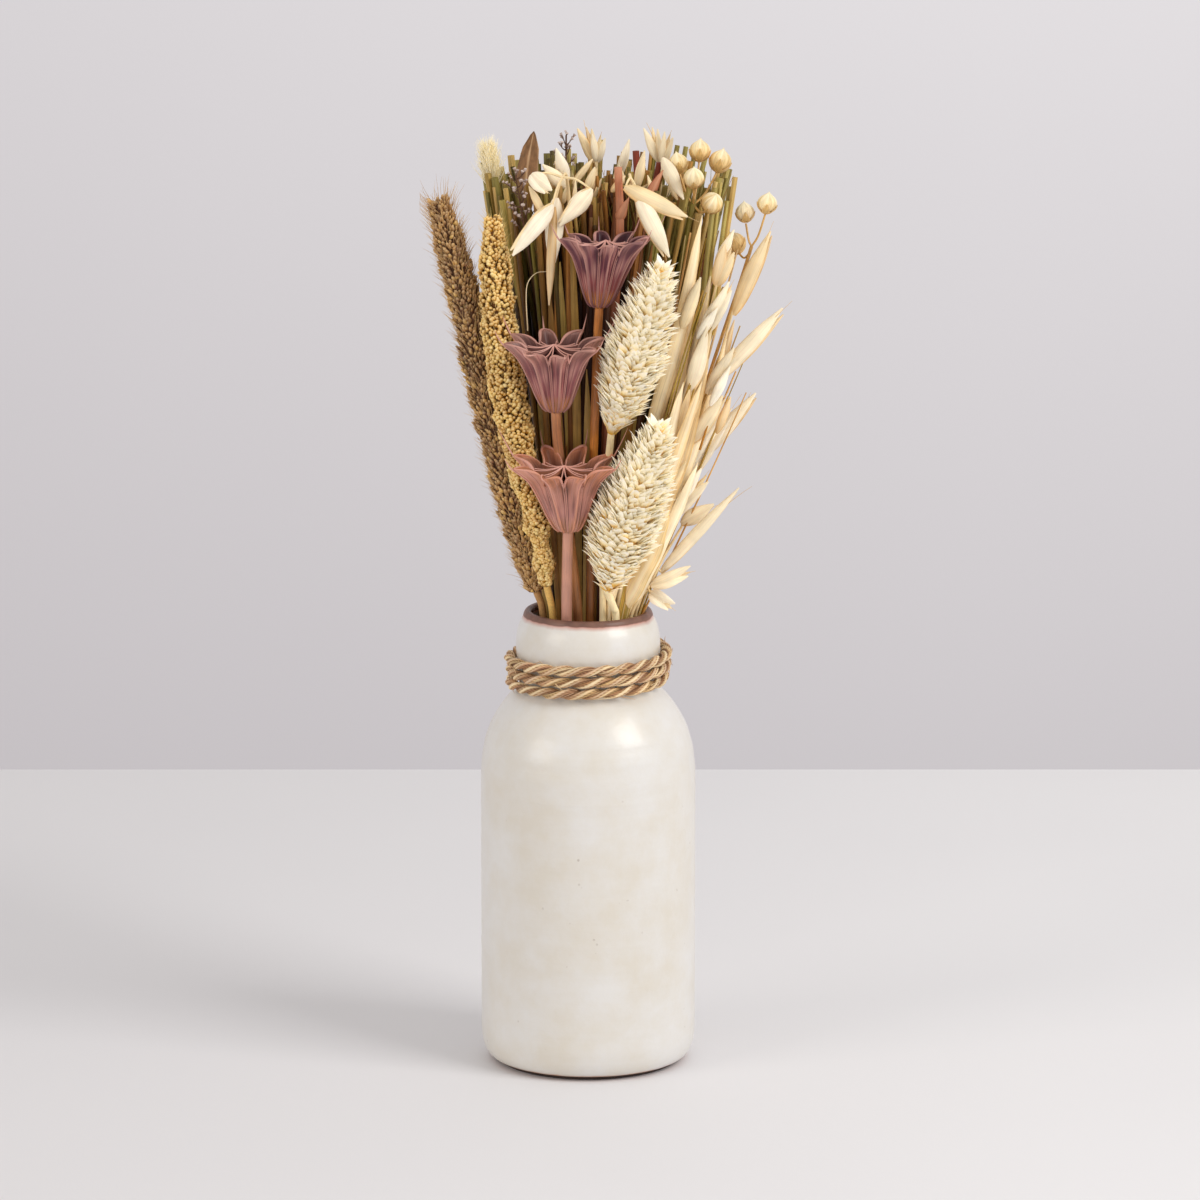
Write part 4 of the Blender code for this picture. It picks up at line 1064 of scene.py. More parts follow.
# For each stalk: its route, and its spikelets as base, tip and how far the two husks gape
OATS = {
    "oat_front_left": (
        [(-5.0, -3.0, 236), (-5.4, -4.6, 262), (-6.4, -9.0, 274), (-7.6, -14.0, 274.5)],
        [
            ((-10.7, -18.0, 266.5), (-22.4, -21.0, 252), 0.09),
            ((0.9, -16.0, 271), (-8.4, -18.0, 260.5), 0.09),
            ((-16.6, -14.0, 275), (-11.4, -17.0, 270), 0.3),
            ((-9.5, -14.6, 268), (-11.0, -15.6, 249), 0.12),
        ],
    ),
    "oat_front_right": (
        [(17.0, -3.0, 236), (15.0, -4.6, 262), (12.6, -10.0, 274), (12.6, -15.0, 274.5)],
        [((11.2, -18.0, 272), (29.6, -20.0, 263.5), 0.08), ((14.9, -18.4, 270), (24.2, -21.0, 251.5), 0.08)],
    ),
    "oat_right_low": (
        [(19.0, -7.0, 150), (23.2, -5.0, 158), (28.4, -1.0, 166)],
        [
            ((28.4, -1.0, 167), (38.0, 0.2, 172.6), 0.05),
            ((22.0, -5.6, 153), (45.5, -5.0, 178.6), 0.01),
            ((19.2, -7.4, 149), (31.4, -4.0, 153), 0.22),
            ((19.0, -9.6, 147), (25.6, -15.0, 143.6), 0.35),
        ],
    ),
    "oat_right_middle": (
        [(24.5, -3.4, 168), (34.2, 2.0, 187)],
        [
            ((34.2, 2.0, 187), (50.6, 4.0, 206), 0.05),
            ((31.0, -1.0, 181), (43.5, -4.0, 204), 0.12),
            ((25.5, -4.0, 170), (36.0, -8.0, 184), 0.25),
        ],
    ),
    "oat_right_tall": (
        [(27.0, -7.0, 180), (37.0, -6.0, 210), (44.0, -6.0, 235)],
        [
            ((43.6, -6.0, 232), (54.6, -6.0, 257), 0.04),
            ((38.6, -6.0, 212), (58.4, -2.0, 233), 0.06),
            ((36.0, -7.0, 208), (44.6, -11.0, 222), 0.12),
            ((31.0, -7.4, 193), (40.4, -11.0, 208), 0.08),
        ],
    ),
    "oat_right_inner": (
        [(21.5, -11.6, 176), (29.6, -13.4, 206), (38.4, -13.0, 242)],
        [
            ((38.4, -13.0, 242), (42.6, -14.0, 254), 0.3),
            ((35.4, -13.6, 228), (43.0, -16.0, 243), 0.12),
            ((30.6, -13.6, 210), (35.6, -17.0, 230), 0.08),
            ((26.0, -12.8, 194), (32.4, -16.0, 210), 0.25),
            ((21.6, -11.8, 176), (28.6, -14.0, 191), 0.25),
        ],
    ),
    "oat_back_left": (
        [(2.6, 21.0, 236), (2.6, 21.5, 262), (2.6, 22.0, 272)],
        [((2.0, 22.0, 274), (-1.2, 23.0, 284.6), 0.4), ((2.8, 22.0, 274), (3.4, 20.0, 282.6), 0.5)],
    ),
    "oat_back_right": (
        [(22.0, 21.0, 236), (22.0, 21.5, 262), (22.0, 22.0, 272)],
        [((21.6, 22.0, 274), (18.8, 23.0, 284.6), 0.4), ((22.4, 22.0, 273), (24.6, 20.0, 283), 0.3)],
    ),
}
# The husks of one spikelet that gapes, and of one that doesn't: side, share of the length, roll, share of the
# width, and lean toward the viewer. A husk that leans back is the duller one.
OPEN_HUSKS = ((-0.5, 1.0, 0.35, 1.0, 0.4), (0.5, 0.88, -0.45, 0.9, 0.2), (0.1, 0.95, 0.1, 0.6, -0.8))
SHUT_HUSKS = ((0.0, 1.0, 0.0, 1.15, 0.6), (0.9, 0.96, -0.5, 0.8, -0.5))
# Broken husks at the top: base, tip, half width, roll and tint
LOOSE_HUSKS = (
    ((22.4, 4.0, 277.5), (28.6, -6.0, 266.5), 2.2, 0.2, 0.7),
    ((-10.0, -16.4, 266.0), (-11.6, -14.6, 236.0), 1.5, 0.3, 0.0),
    ((-13.2, -12.4, 263.0), (-17.6, -12.6, 271.6), 1.3, 0.5, 0.3),
    ((-6.6, 1.0, 269.0), (-13.6, -2.0, 276.5), 2.0, 0.4, 0.6),
    ((-6.0, 2.0, 271.0), (-9.6, 1.0, 281.0), 1.8, -0.3, 0.9),
    ((9.0, 14.0, 270.0), (12.4, 13.0, 282.0), 1.6, 0.5, 0.8),
    ((14.6, 4.0, 268.0), (17.0, 3.0, 280.0), 1.5, -0.5, 0.4),
    # White ones between the leaves on the right
    ((32.6, -15.6, 226.0), (38.6, -16.4, 235.6), 1.5, 0.3, 1.0),
    ((34.0, -14.4, 230.0), (41.0, -14.0, 240.0), 1.3, -0.4, 1.0),
    ((36.6, -12.0, 205.0), (42.6, -11.0, 217.0), 1.4, 0.2, 1.0),
    ((38.6, -9.0, 196.0), (42.8, -8.0, 207.0), 1.3, 0.1, 0.0),
    ((28.0, -15.4, 229.0), (33.6, -15.6, 244.6), 2.0, -0.2, 0.45),
    ((38.0, -8.0, 246.0), (43.6, -9.4, 258.0), 1.6, 0.3, 0.7),
)
CHAFF = 20
OAT_RADIUS = 0.65
TENDRIL = [(-18, -13, 228), (-18.4, -15.5, 238), (-17.9, -16, 243), (-15.4, -16.5, 246), (-12.2, -16, 246.4)]


class OatLook(bpy.types.PropertyGroup):
    husk: colour_of("Husk", "Papery husk", "#F0D6AA")
    # The pale middle is partly the husk's own thin tissue and partly a painted highlight
    pale: colour_of("Husk middle", "Thin pale middle of a husk", "#FBF0D4")
    width: length_of("Husk half width", "Half the width of a husk at its widest", 2.3)


def husk(base, tip, width, lean, roll, tint, rng, plump=0.6):
    """A boat-shaped husk: half width = width sin(pi v^0.72)^0.8 up its length v, crowned across by plump
    (1 - u^2) of that, its tip drawn out, all bowed by a sine of the length."""
    base, tip = np.array(base, float), np.array(tip, float)
    v = np.linspace(0, 1, 18)[:, None]
    u = np.linspace(-1, 1, 11)[None]
    along = unit(tip - base)
    length = np.linalg.norm(tip - base)
    side = unit(np.cross(FRONT, along))
    up = np.cross(along, side)
    side, up = math.cos(roll) * side + math.sin(roll) * up, math.cos(roll) * up - math.sin(roll) * side
    half = width * np.sin(math.pi * np.clip(v, 0.012, 0.985) ** 0.72) ** 0.8 + 0.07
    edge = half * (1 + 0.05 * np.sin(8 * v + rng.uniform(0, 6)))
    x = edge * np.sin(1.2 * u) / math.sin(1.2)
    y = half * plump * (1 - u**2) + 0.05 * length * np.sin(math.pi * v) * lean
    grid = base + v[..., None] * length * along + x[..., None] * side + y[..., None] * up
    crease = np.exp(-(((u - rng.uniform(-0.5, 0.5)) / 0.13) ** 2))
    # Painted shade: darker toward the side edges, along a crease and toward the foot, leaving a painted
    # highlight down the middle
    shade = 0.7 - 0.26 * np.abs(u) ** 3 - 0.16 * crease * (1 - 0.6 * v) - 0.16 * (1 - v) ** 3
    return sheet(grid, 0.16, tint=tint, shade=np.clip(shade, 0, 1))


def spikelet_skins(stalk, base, tip, gape, width, plump, rng):
    """A thin pedicel from the stalk, two glumes, a narrower floret between them and an awn that bends as the
    square of its length. Glumes that gape less than 0.1 lie one over the other."""
    skins = []
    base, tip = np.array(base, float), np.array(tip, float)
    nearest = nearest_on(stalk, base)
    away = np.linalg.norm(nearest - base)
    along = unit(tip - base)
    length = np.linalg.norm(tip - base)
    if away > 1.0:
        middle = (nearest + base) / 2 + UP * 0.12 * away
        pedicel = smooth([nearest, middle, base, base + along], 12)
        skins.append(tubes(pedicel, np.linspace(0.4, 0.28, 12), 5, tint=0.4))
    across = unit(np.cross(along, FRONT))
    tone = rng.uniform(0.1, 0.9)
    # A long spikelet's husks are slimmer
    slim = 1 - 0.25 * (length > 30)
    for side, share, roll, size, lean in SHUT_HUSKS if gape < 0.1 else OPEN_HUSKS:
        end = base + unit(along + across * gape * side) * length * share
        begin = base + across * side * 0.6 - along * 0.4
        roll += rng.uniform(-0.3, 0.3)
        tint = np.clip(tone - (0.5 if lean < 0 else 0.0) + rng.normal(0, 0.1), 0, 1)
        lean += rng.uniform(-0.2, 0.2)
        skins.append(husk(begin, end, width * (size * slim), lean, roll, tint, rng, plump))
    bend = rng.normal(0, 0.1, 3) * length
    t = np.linspace(0, 1, 8)[:, None]
    awn = base + along * length * (0.5 + 0.58 * t) + bend * t**2 * 0.5
    return skins + [tubes(awn, np.linspace(0.15, 0.05, 8), 4, tint=0.2, shade=0.4)]


def loose_husks(rng):
    """Broken husks and chaff caught among the cut ends, and one fine tendril that curls in front."""
    skins = [husk(base, tip, width, 0.3, roll, tint, rng) for base, tip, width, roll, tint in LOOSE_HUSKS]
    for _ in range(CHAFF):
        base = np.array([rng.uniform(-12, 30), rng.uniform(-5, 16), 267 + rng.uniform(-4, 3)])
        way = unit(np.array([rng.normal(0.1, 0.5), rng.normal(-0.1, 0.3), 1.0]))
        tip = base + way * rng.uniform(5, 10)
        width, roll, tint = rng.uniform(0.6, 1.4), rng.uniform(-1, 1), rng.uniform(0.0, 0.5)
        skins.append(husk(base, tip, width, 0.4, roll, tint, rng))
    return skins + [tubes(smooth(TENDRIL, 40), np.linspace(0.2, 0.08, 40), 5, tint=0.5, shade=0.5)]


class BUNCH_OT_oats(bpy.types.Operator):
    """Builds every oat stalk with its husks, pedicels and awns"""

    bl_idname = "bunch.oats"
    bl_label = "Oats"

    def execute(self, context):
        look = context.scene.oat_look
        rng = np.random.default_rng(13)
        # Oat husk: thin parchment with lengthwise veins 0.4 mm apart, light through it, and brown painted
        # shade in the folds, at the edges and toward the foot
        mat = dry_plant(
            "oat_husk_parchment",
            ("#B4844E", "#DFB888", look.husk, "#F5E4C6", "#F9EFDC", look.pale),
            fibre=(0.4, 16.0),
            relief=0.05,
            streaks=0.22,
            Roughness=0.55,
            Specular_IOR_Level=0.3,
            **THIN,
        )
        for name, (route, spikelets) in OATS.items():
            rooted = name in MOUTH
            stalk = stem_path(MOUTH[name], *route) if rooted else smooth(route, 24)
            width = look.width / MM * {"front": 1.0, "back": 0.6, "right": 0.88}[name.split("_")[1]]
            plump = 0.36 if "right" in name else 0.55
            size = np.linspace(OAT_RADIUS, OAT_RADIUS * 0.6, len(stalk))
            skins = [tubes(stalk, size, 7, tint=0.35, shade=0.5)]
            keep_clear(stalk, OAT_RADIUS)
            for spikelet in spikelets:
                skins += spikelet_skins(stalk, *spikelet, width, plump, rng)
            piece(name.replace("oat", "oat_stalk"), skins, mat, "pale_husk", name, angle=60)
        piece("loose_husks", loose_husks(rng), mat, "pale_husk", angle=60)
        return {"FINISHED"}


# Leaves

# Route, half width and tint of each leaf
BLADES = {
    "straw_leaf_long": ([(19.0, -11.8, 196), (27.0, -13.0, 226), (34.0, -13.6, 263)], 2.4, 0.6),
    "straw_leaf_short": ([(15.6, -12.0, 157), (21.6, -14.3, 176), (34.0, -19.5, 214)], 2.2, 0.35),
    "straw_leaf_side": ([(20.0, -3.6, 166), (30.0, -3.6, 204), (40.5, -3.0, 250)], 2.0, 0.5),
}
# Leaves that fill the right side between those: place in the mouth, route, half width and tint
SIDE_BLADES = (
    ((8.9, -9.6), [(14.5, -15.0, 164), (21.5, -17.0, 186), (28.5, -16.5, 213)], 2.3, 0.9),
    ((11.8, -8.0), [(20.0, -10.0, 165), (29.0, -10.5, 190), (36.0, -10.0, 219)], 2.1, 0.4),
    ((12.4, -5.6), [(22.0, -6.5, 166), (32.0, -5.6, 192), (41.5, -4.6, 224)], 2.0, 0.85),
    ((13.6, -3.6), [(24.0, -2.0, 168), (34.5, -0.4, 196), (44.0, 0.6, 229)], 1.9, 0.2),
    ((10.2, -7.4), [(17.5, -10.6, 172), (26.0, -11.4, 206), (32.6, -11.6, 243)], 1.7, 0.25),
    ((12.0, -5.0), [(20.5, -8.2, 176), (29.5, -9.0, 210), (36.6, -9.4, 244)], 2.2, 0.95),
    ((13.2, -2.6), [(22.6, -0.6, 176), (32.0, 0.6, 210), (39.6, 1.6, 247)], 1.9, 0.3),
    ((10.4, -9.0), [(14.8, -14.0, 151), (19.6, -16.0, 161), (24.0, -16.6, 174)], 2.6, 0.5),
    ((12.8, -7.0), [(17.4, -9.6, 152), (24.0, -10.0, 166), (33.0, -9.0, 187)], 2.0, 1.0),
    ((6.4, -11.0), [(7.6, -12.4, 150), (9.8, -12.6, 166), (13.6, -12.6, 186)], 1.6, 0.8),
)
# Thin bare stalks between the leaves, and olive ones in front of them
SIDE_STALKS = 34
OLIVE_STALKS = 9
RUST_STALK = [(33.6, -9.0, 191), (35.4, -9.6, 197), (37.2, -9.8, 202), (41.0, -9.4, 205.6)]
BROWN_ROUTE = [(-19.6, 11, 236), (-19.5, 11.2, 250), (-19.3, 12, 262), (-18, 14, 274), (-16.3, 15, 284)]
# Height and half width up the brown leaf
BROWN_LEVELS = (236, 250, 258, 264, 272, 279, 283, 284)
BROWN_WIDTHS = (0.4, 0.6, 1.8, 3.0, 3.4, 2.5, 0.9, 0.06)


class LeafLook(bpy.types.PropertyGroup):
    blade: colour_of("Blade", "Long papery leaves", "#F2D3A0")
    brown: colour_of("Brown leaf", "The leaf at the back left", "#8E6C50")


def blade_skin(path, widths, fold, twist, wave, tint, shade=None, columns=9):
    """A long leaf: across its path run width u, crowned toward the viewer by fold (1 - |u|^1.6), twisted
    along its length, its edges waved."""
    side, up, _ = axes_along(path)
    v = np.linspace(0, 1, len(path))
    u = np.linspace(-1, 1, columns)
    turn = twist * v
    s = np.cos(turn)[:, None] * side + np.sin(turn)[:, None] * up
    n = np.cos(turn)[:, None] * up - np.sin(turn)[:, None] * side
    ripple = wave * np.sin(26 * v[:, None] + 2 * u) * np.abs(u) ** 2
    rise = widths[:, None] * fold * (1 - np.abs(u) ** 1.6) + ripple
    grid = path[:, None] + (widths[:, None] * u)[..., None] * s[:, None] + rise[..., None] * n[:, None]
    if shade is None:
        # Painted shade: darker toward the edges and along two creases
        crease = np.exp(-(((u - 0.35) / 0.12) ** 2)) + 0.7 * np.exp(-(((u + 0.5) / 0.1) ** 2))
        crease = crease * (0.6 + 0.4 * np.sin(5 * v[:, None] + 9 * tint))
        shade = 0.78 - 0.36 * np.abs(u) ** 2.5 - 0.22 * crease
    return sheet(grid, 0.28, tint=0.33 + 0.67 * tint, shade=np.clip(shade, 0, 1))


def blade_widths(path, width):
    """Narrow in the vase, full a little above the rim, and pointed at the end."""
    top = path[-1, 2]
    span = top - RIM
    levels = (FLOOR, RIM, RIM + 0.2 * span, top - 0.3 * span, top - 0.08 * span, top)
    return np.interp(path[:, 2], levels, (0.5, 0.7, width, width, width * 0.6, 0.06))


def side_stalks(t, rng):
    """Thin bare stalks fanned out between the leaves on quadratic curves, some of them olive."""
    n = SIDE_STALKS
    share = rng.random(n)
    foot = np.column_stack([9 + 6 * share, -9 + 8 * share + rng.normal(0, 0.8, n), np.full(n, 136.0)])
    deep = -10 + 11 * share + rng.normal(0, 2, n)
    tip = np.column_stack([26 + 22 * share, deep, rng.uniform(205, 262, n)])
    middle = (foot + tip) / 2 + np.column_stack([rng.uniform(-3, 1.5, n), np.zeros(n), np.zeros(n)])
    path = quadratic(foot[:, None], middle[:, None], tip[:, None], t)
    size = rng.uniform(0.28, 0.6, (n, 1)) * np.linspace(1, 0.5, t.size)
    tint = rng.uniform(0, 0.9, (n, 1)) ** 2
    return tubes(path, size, 6, tint=tint, shade=rng.uniform(0.3, 0.6, (n, 1)))


def olive_stalks(t, rng):
    """Olive-gold stalks in front of the leaves, side by side on quadratic curves."""
    n = OLIVE_STALKS
    share = np.linspace(0, 1, n)
    foot = np.column_stack([8.6 + 2.6 * share, -11.4 + 1.6 * share, np.full(n, 137.0)])
    middle = np.column_stack([17.0 + 4.6 * share, -17.0 + 2.4 * share, 186 - 4 * share])
    tip = np.column_stack([33.4 + 7.6 * share, -15.4 + 1.6 * share, 236 + 5 * np.sin(9 * share)])
    path = quadratic(foot[:, None], middle[:, None], tip[:, None], t)
    size = rng.uniform(0.28, 0.42, (n, 1)) * np.linspace(1, 0.6, t.size)
    tint = rng.uniform(0, 0.16, (n, 1))
    return tubes(path, size, 6, tint=tint, shade=rng.uniform(0.35, 0.6, (n, 1)))


def brown_leaf(path):
    """The broad brown leaf, with a pale midrib and edge and a shade that ripples as its side veins do."""
    widths = np.interp(path[:, 2], BROWN_LEVELS, BROWN_WIDTHS)
    u = np.linspace(-1, 1, 11)
    veins = 0.08 * np.sin(40 * np.linspace(0, 1, len(path))[:, None] + 5 * np.abs(u))
    tone = 0.42 + 0.5 * np.exp(-((u / 0.07) ** 2)) + np.where(u < -0.8, 0.35, 0.0) + veins
    return blade_skin(path, widths, -0.3, 0.3, 0.15, 0.25, tone, 11)


class BUNCH_OT_leaves(bpy.types.Operator):
    """Builds the long papery leaves and the brown leaf"""

    bl_idname = "bunch.leaves"
    bl_label = "Leaves"

    def execute(self, context):
        look = context.scene.leaf_look
        # Dry grass leaf: parchment with fine parallel veins, and tan painted shade toward its edges and in
        # its creases
        mat = dry_plant(
            "dry_grass_leaf",
            ("#B4824A", "#A08A42", "#E2B682", look.blade, "#FAE6C0", "#FDF0D6"),
            fibre=(0.35, 22.0),
            relief=0.06,
            Roughness=0.6,
            Specular_IOR_Level=0.3,
            **THIN,
        )
        for name, (route, width, tint) in BLADES.items():
            path = stem_path(MOUTH[name], *route, count=70)
            skin = blade_skin(path, blade_widths(path, width), 0.4, 0.5, 0.25, tint)
            keep_clear(path, width * 0.6)
            piece(name.replace("straw", "grass"), [skin], mat, "pale_husk", name, angle=60)
        rng = np.random.default_rng(31)
        skins = []
        for mouth, route, width, tint in SIDE_BLADES:
            path = stem_path(mouth, *route, count=60)
            widths, twist = blade_widths(path, width), rng.uniform(-0.9, 0.7)
            skins.append(blade_skin(path, widths, 0.45, twist, 0.25, tint))
        t = np.linspace(0, 1, 24)[None, :, None]
        skins += [side_stalks(t, rng), olive_stalks(t, rng)]
        skins.append(tubes(smooth(RUST_STALK, 24), np.linspace(0.4, 0.15, 24), 5, tint=0.3, shade=0.0))
        piece("side_leaves", skins, mat, "pale_husk", angle=60)
        # Dry broad leaf: matt brown, paler midrib and side veins
        mat = dry_plant(
            "dry_brown_leaf",
            ("#3C2717", "#6E4C33", look.brown, "#A9825E", "#C9A988"),
            fibre=(0.9, 2.0),
            relief=0.05,
            Roughness=0.7,
        )
        path = smooth(BROWN_ROUTE, 40)
        keep_clear(path, 2.6)
        piece("oblong_brown_leaf", [brown_leaf(path)], mat, "brown_leaf", "brown_leaf", angle=60)
        return {"FINISHED"}


# Flax

# Route of each sprig and the middles of its capsules
FLAX = {
    "flax_top": (
        [(28.0, 4.0, 236), (29.6, 2.8, 252), (31.6, 0.0, 264)],
        [(39.7, 8.0, 276), (33.6, 9.0, 279), (27.0, 4.0, 276), (31.6, -6.0, 273), (37.0, -9.0, 266)],
    ),
    "flax_right": (
        [(33.0, 4.0, 200), (45.4, -2.0, 240), (49.0, -4.0, 252)],
        [(53.6, -4.0, 265), (47.0, -2.0, 262), (44.0, 2.0, 252)],
    ),
}


class FlaxLook(bpy.types.PropertyGroup):
    shell: colour_of("Capsule", "Papery shell of a capsule", "#E6C690")
    radius: length_of("Capsule radius", "Radius of a capsule", 3.3)


def sepal_skin(centre, up, out, radius):
    """A small pointed leaf that hugs the foot of a capsule: its middle line swings out as a sine and climbs,
    and its half width is a sine of its length."""
    v = np.linspace(0, 1, 7)[:, None]
    spine = centre - up * radius * 1.06 + out * radius * 1.12 * np.sin(v * 1.4) + up * radius * 1.15 * v**1.5
    width = 1.25 * np.sin(math.pi * np.clip(v, 0.1, 0.97) ** 0.7)
    across = np.linspace(-1, 1, 5)[None, :, None] * width[:, :, None] * unit(np.cross(up, out))
    return sheet(spine[:, None] + across, 0.2, tint=0.2, shade=0.45)


def capsule_skins(centre, up, radius, tint):
    """A flax capsule: a globe whose radius dips in ten grooves and draws out to a point, and five sepals."""
    phi = np.linspace(0.06, math.pi - 0.1, 22)[:, None]
    theta = circle(60)
    groove = np.abs(np.sin(5 * theta)) ** 0.5
    r = radius * (0.93 + 0.07 * groove * np.sin(phi))
    height = -np.cos(phi) * radius * 0.96 + 0.16 * radius * np.clip((phi - 2.5) / 0.55, 0, 1) ** 2
    side = unit(np.cross(up, FRONT + 0.3 * UP))
    over = np.cross(side, up)
    ring = (r * np.sin(phi))[..., None] * (np.cos(theta)[:, None] * over + np.sin(theta)[:, None] * side)
    grid = centre + ring + height[..., None] * up * np.ones((1, len(theta), 1))
    shade = 0.46 + 0.2 * (1 - groove) - 0.22 * np.cos(phi) + 0.1 * np.sin(3 * theta + 4 * tint)
    grain = np.stack(np.broadcast_arrays(theta * radius, 0 * theta, height + radius), axis=-1)
    tip = centre + up * radius * 1.3
    globe = closed(grid[None], (centre - up * radius)[None], tip[None], grain[None], tint, shade[None])
    turns = (2 * math.pi * k / 5 for k in range(5))
    return [globe] + [sepal_skin(centre, up, math.cos(a) * over + math.sin(a) * side, radius) for a in turns]


class BUNCH_OT_flax(bpy.types.Operator):
    """Builds the two flax sprigs with their round ribbed capsules"""

    bl_idname = "bunch.flax"
    bl_label = "Flax"

    def execute(self, context):
        look = context.scene.flax_look
        rng = np.random.default_rng(17)
        radius = look.radius / MM
        # Flax capsule: thin brittle shell, straw-coloured with lighter ribs and a faint shine
        mat = dry_plant(
            "flax_capsule_shell",
            ("#A2703A", "#D6AC72", look.shell, "#F0D8A8", "#F6E4C0", "#FAF1D6"),
            fibre=(0.5, 3.0),
            relief=0.04,
            Roughness=0.5,
            Subsurface_Weight=0.08,
            Subsurface_Scale=0.002,
        )
        for name, (route, capsules) in FLAX.items():
            stalk = stem_path(MOUTH[name], *route) if name in MOUTH else smooth(route, 20)
            keep_clear(stalk, 0.6)
            skins = [tubes(stalk, 0.55, 7, tint=0.1, shade=0.4)]
            for centre in np.array(capsules):
                nearest = nearest_on(stalk, centre)
                up = unit(unit(centre - nearest) + UP)
                foot = centre - up * look.radius / MM
                middle = (nearest + foot) / 2 - UP * 1.5
                skins.append(tubes(smooth([nearest, middle, foot], 12), 0.33, 5, tint=0.1, shade=0.4))
                skins += capsule_skins(centre, up, radius * rng.uniform(0.85, 1.05), rng.uniform(0.3, 1))
            piece(name.replace("flax", "flax_sprig"), skins, mat, "flax_capsule", name)
        return {"FINISHED"}


# Sprigs

# Foot, tip, twigs and reach of each sea lavender
SPRIGS = {
    "sea_lavender_left": ((-15.6, 1.4, 236), (-21.6, -7.0, 274), 18, 3.4),
    "sea_lavender_top": ((-7.0, 16.0, 236), (-6.6, 18.0, 282.4), 20, 3.2),
}
# The bunny tail's stem, head and radii up the head. No hair stands above its limit.
TAIL_STEM = [(-22.4, 12.0, 236), (-25.4, 12.0, 252), (-28.6, 12.0, 266)]
TAIL_HEAD = [(-28.6, 12.0, 266), (-29.4, 12.0, 273), (-30.0, 12.4, 279)]
TAIL_RADII = np.array([0.6, 1.3, 1.5, 1.2, 0.6])
TAIL_LIMIT = 286.5


class SprigLook(bpy.types.PropertyGroup):
    violet: colour_of("Calyx", "Papery calyx of the sea lavender", "#A8928A")
    fluff: colour_of("Fluff", "Hairs of the bunny tail", "#F6E4B4")
    hairs: count_of("Hairs", "Hairs on the bunny tail", 900)


def sprig_skins(foot, tip, count, reach, rng):
    """A branching sprig: twigs at the golden angle, each with three five-sided cups near its end."""
    foot, tip = np.array(foot, float), np.array(tip, float)
    path = smooth([foot, foot * 0.4 + tip * 0.6, tip], 24)
    skins = [tubes(path, np.linspace(0.45, 0.25, 24), 6, tint=0.0, shade=0.35)]
    keep_clear(path, 0.8)
    cups, ways = [], []
    for k in range(count):
        at = int((0.42 + 0.58 * (k + 0.5) / count) * 23)
        side, up, along = (item[at] for item in axes_along(path))
        angle = k * GOLDEN_ANGLE
        out = math.cos(angle) * side + math.sin(angle) * up
        start = path[at]
        size = reach * rng.uniform(0.45, 1.0)
        end = start + out * size + along * reach * rng.uniform(0.5, 1.0)
        twig = smooth([start, (start + end) / 2 - along * 0.3, end], 6)
        skins.append(tubes(twig, np.linspace(0.22, 0.12, 6), 4, tint=0.0, shade=0.3))
        for t in (0.62, 0.8, 1.0):
            cups.append(start + (end - start) * t)
            ways.append(unit(out * rng.uniform(0.2, 0.9) + along + rng.normal(0, 0.3, 3)))
    cup = seed((0.12, 0.5, 0.86, 0.98), (0.16, 0.24, 0.46, 0.5), 5, 1.0, (0.1, 0.8))
    n = len(cups)
    sizes = np.array([1.1, 1.1, 1.45]) * rng.uniform(0.7, 1.2, (n, 1))
    outward = np.tile(FRONT + 0.1 * UP, (n, 1))
    return skins + [copies(cup, np.array(cups), np.array(ways), outward, sizes, rng.random(n) ** 1.7)]


def tail_hairs(count, rng):
    """Silky hairs that run outward and along, and bend along as the square of their length."""
    point, outward, along, radius, share = on_head(TAIL_HEAD, TAIL_RADII, count, rng, 0.5)
    reach = rng.uniform(2.0, 6.4, (count, 1)) * (0.7 + 0.6 * (1 - share[:, None]))
    lean = rng.uniform(0.3, 1.1, (count, 1))
    forward = unit(along * 1.5 + outward * lean + rng.normal(0, 0.12, (count, 3)))
    bend = along * reach * 0.25 + rng.normal(0, 0.1, (count, 3)) * reach
    hair = hairs(point + outward * radius[:, None] * 0.8, forward * reach, bend, 5)
    hair[..., 2] = np.minimum(hair[..., 2], TAIL_LIMIT)
    size, tint = np.array([0.11, 0.1, 0.08, 0.06, 0.02]), rng.uniform(0.4, 1, (count, 1))
    return tubes(hair, size, 3, tint=tint, shade=np.linspace(0.5, 0.9, 5))


class BUNCH_OT_sprigs(bpy.types.Operator):
    """Builds the sea lavender and the bunny tail"""

    bl_idname = "bunch.sprigs"
    bl_label = "Sea lavender and bunny tail"

    def execute(self, context):
        look = context.scene.sprig_look
        rng = np.random.default_rng(19)
        # Sea lavender calyx: dry tissue, grey violet and brown, nearly white at its edge
        mat = dry_plant(
            "dry_calyx_tissue",
            ("#4A3224", "#6B4E3C", look.violet, "#8C7060", "#C8B6AE", "#E2D4CC"),
            fibre=(0.3, 1.5),
            Roughness=0.75,
        )
        for name, shape in SPRIGS.items():
            piece(name.replace("sea", "sprig_of_sea"), sprig_skins(*shape, rng), mat, "sea_lavender", name)

        keep_clear(TAIL_STEM, 0.7)
        stem = tubes(smooth(TAIL_STEM, 16), 0.45, 6, tint=0.2, shade=0.4)
        core = tubes(smooth(TAIL_HEAD, 16), stretch(TAIL_RADII, 16), 10, tint=0.5, shade=0.5)
        # Grass fluff: silky hairs, near white against a straw-yellow core
        mat = dry_plant(
            "silky_grass_fluff",
            ("#CDA660", "#EBCB84", look.fluff, "#FDF3D6", "#FFF8E2"),
            fibre=(0.2, 2.0),
            streaks=0.15,
            Roughness=0.6,
            **THIN,
        )
        piece("bunny_tail_fluff", [stem, core, tail_hairs(look.hairs, rng)], mat, "bunny_fluff", "bunny_tail")
        return {"FINISHED"}


# Coloured stems

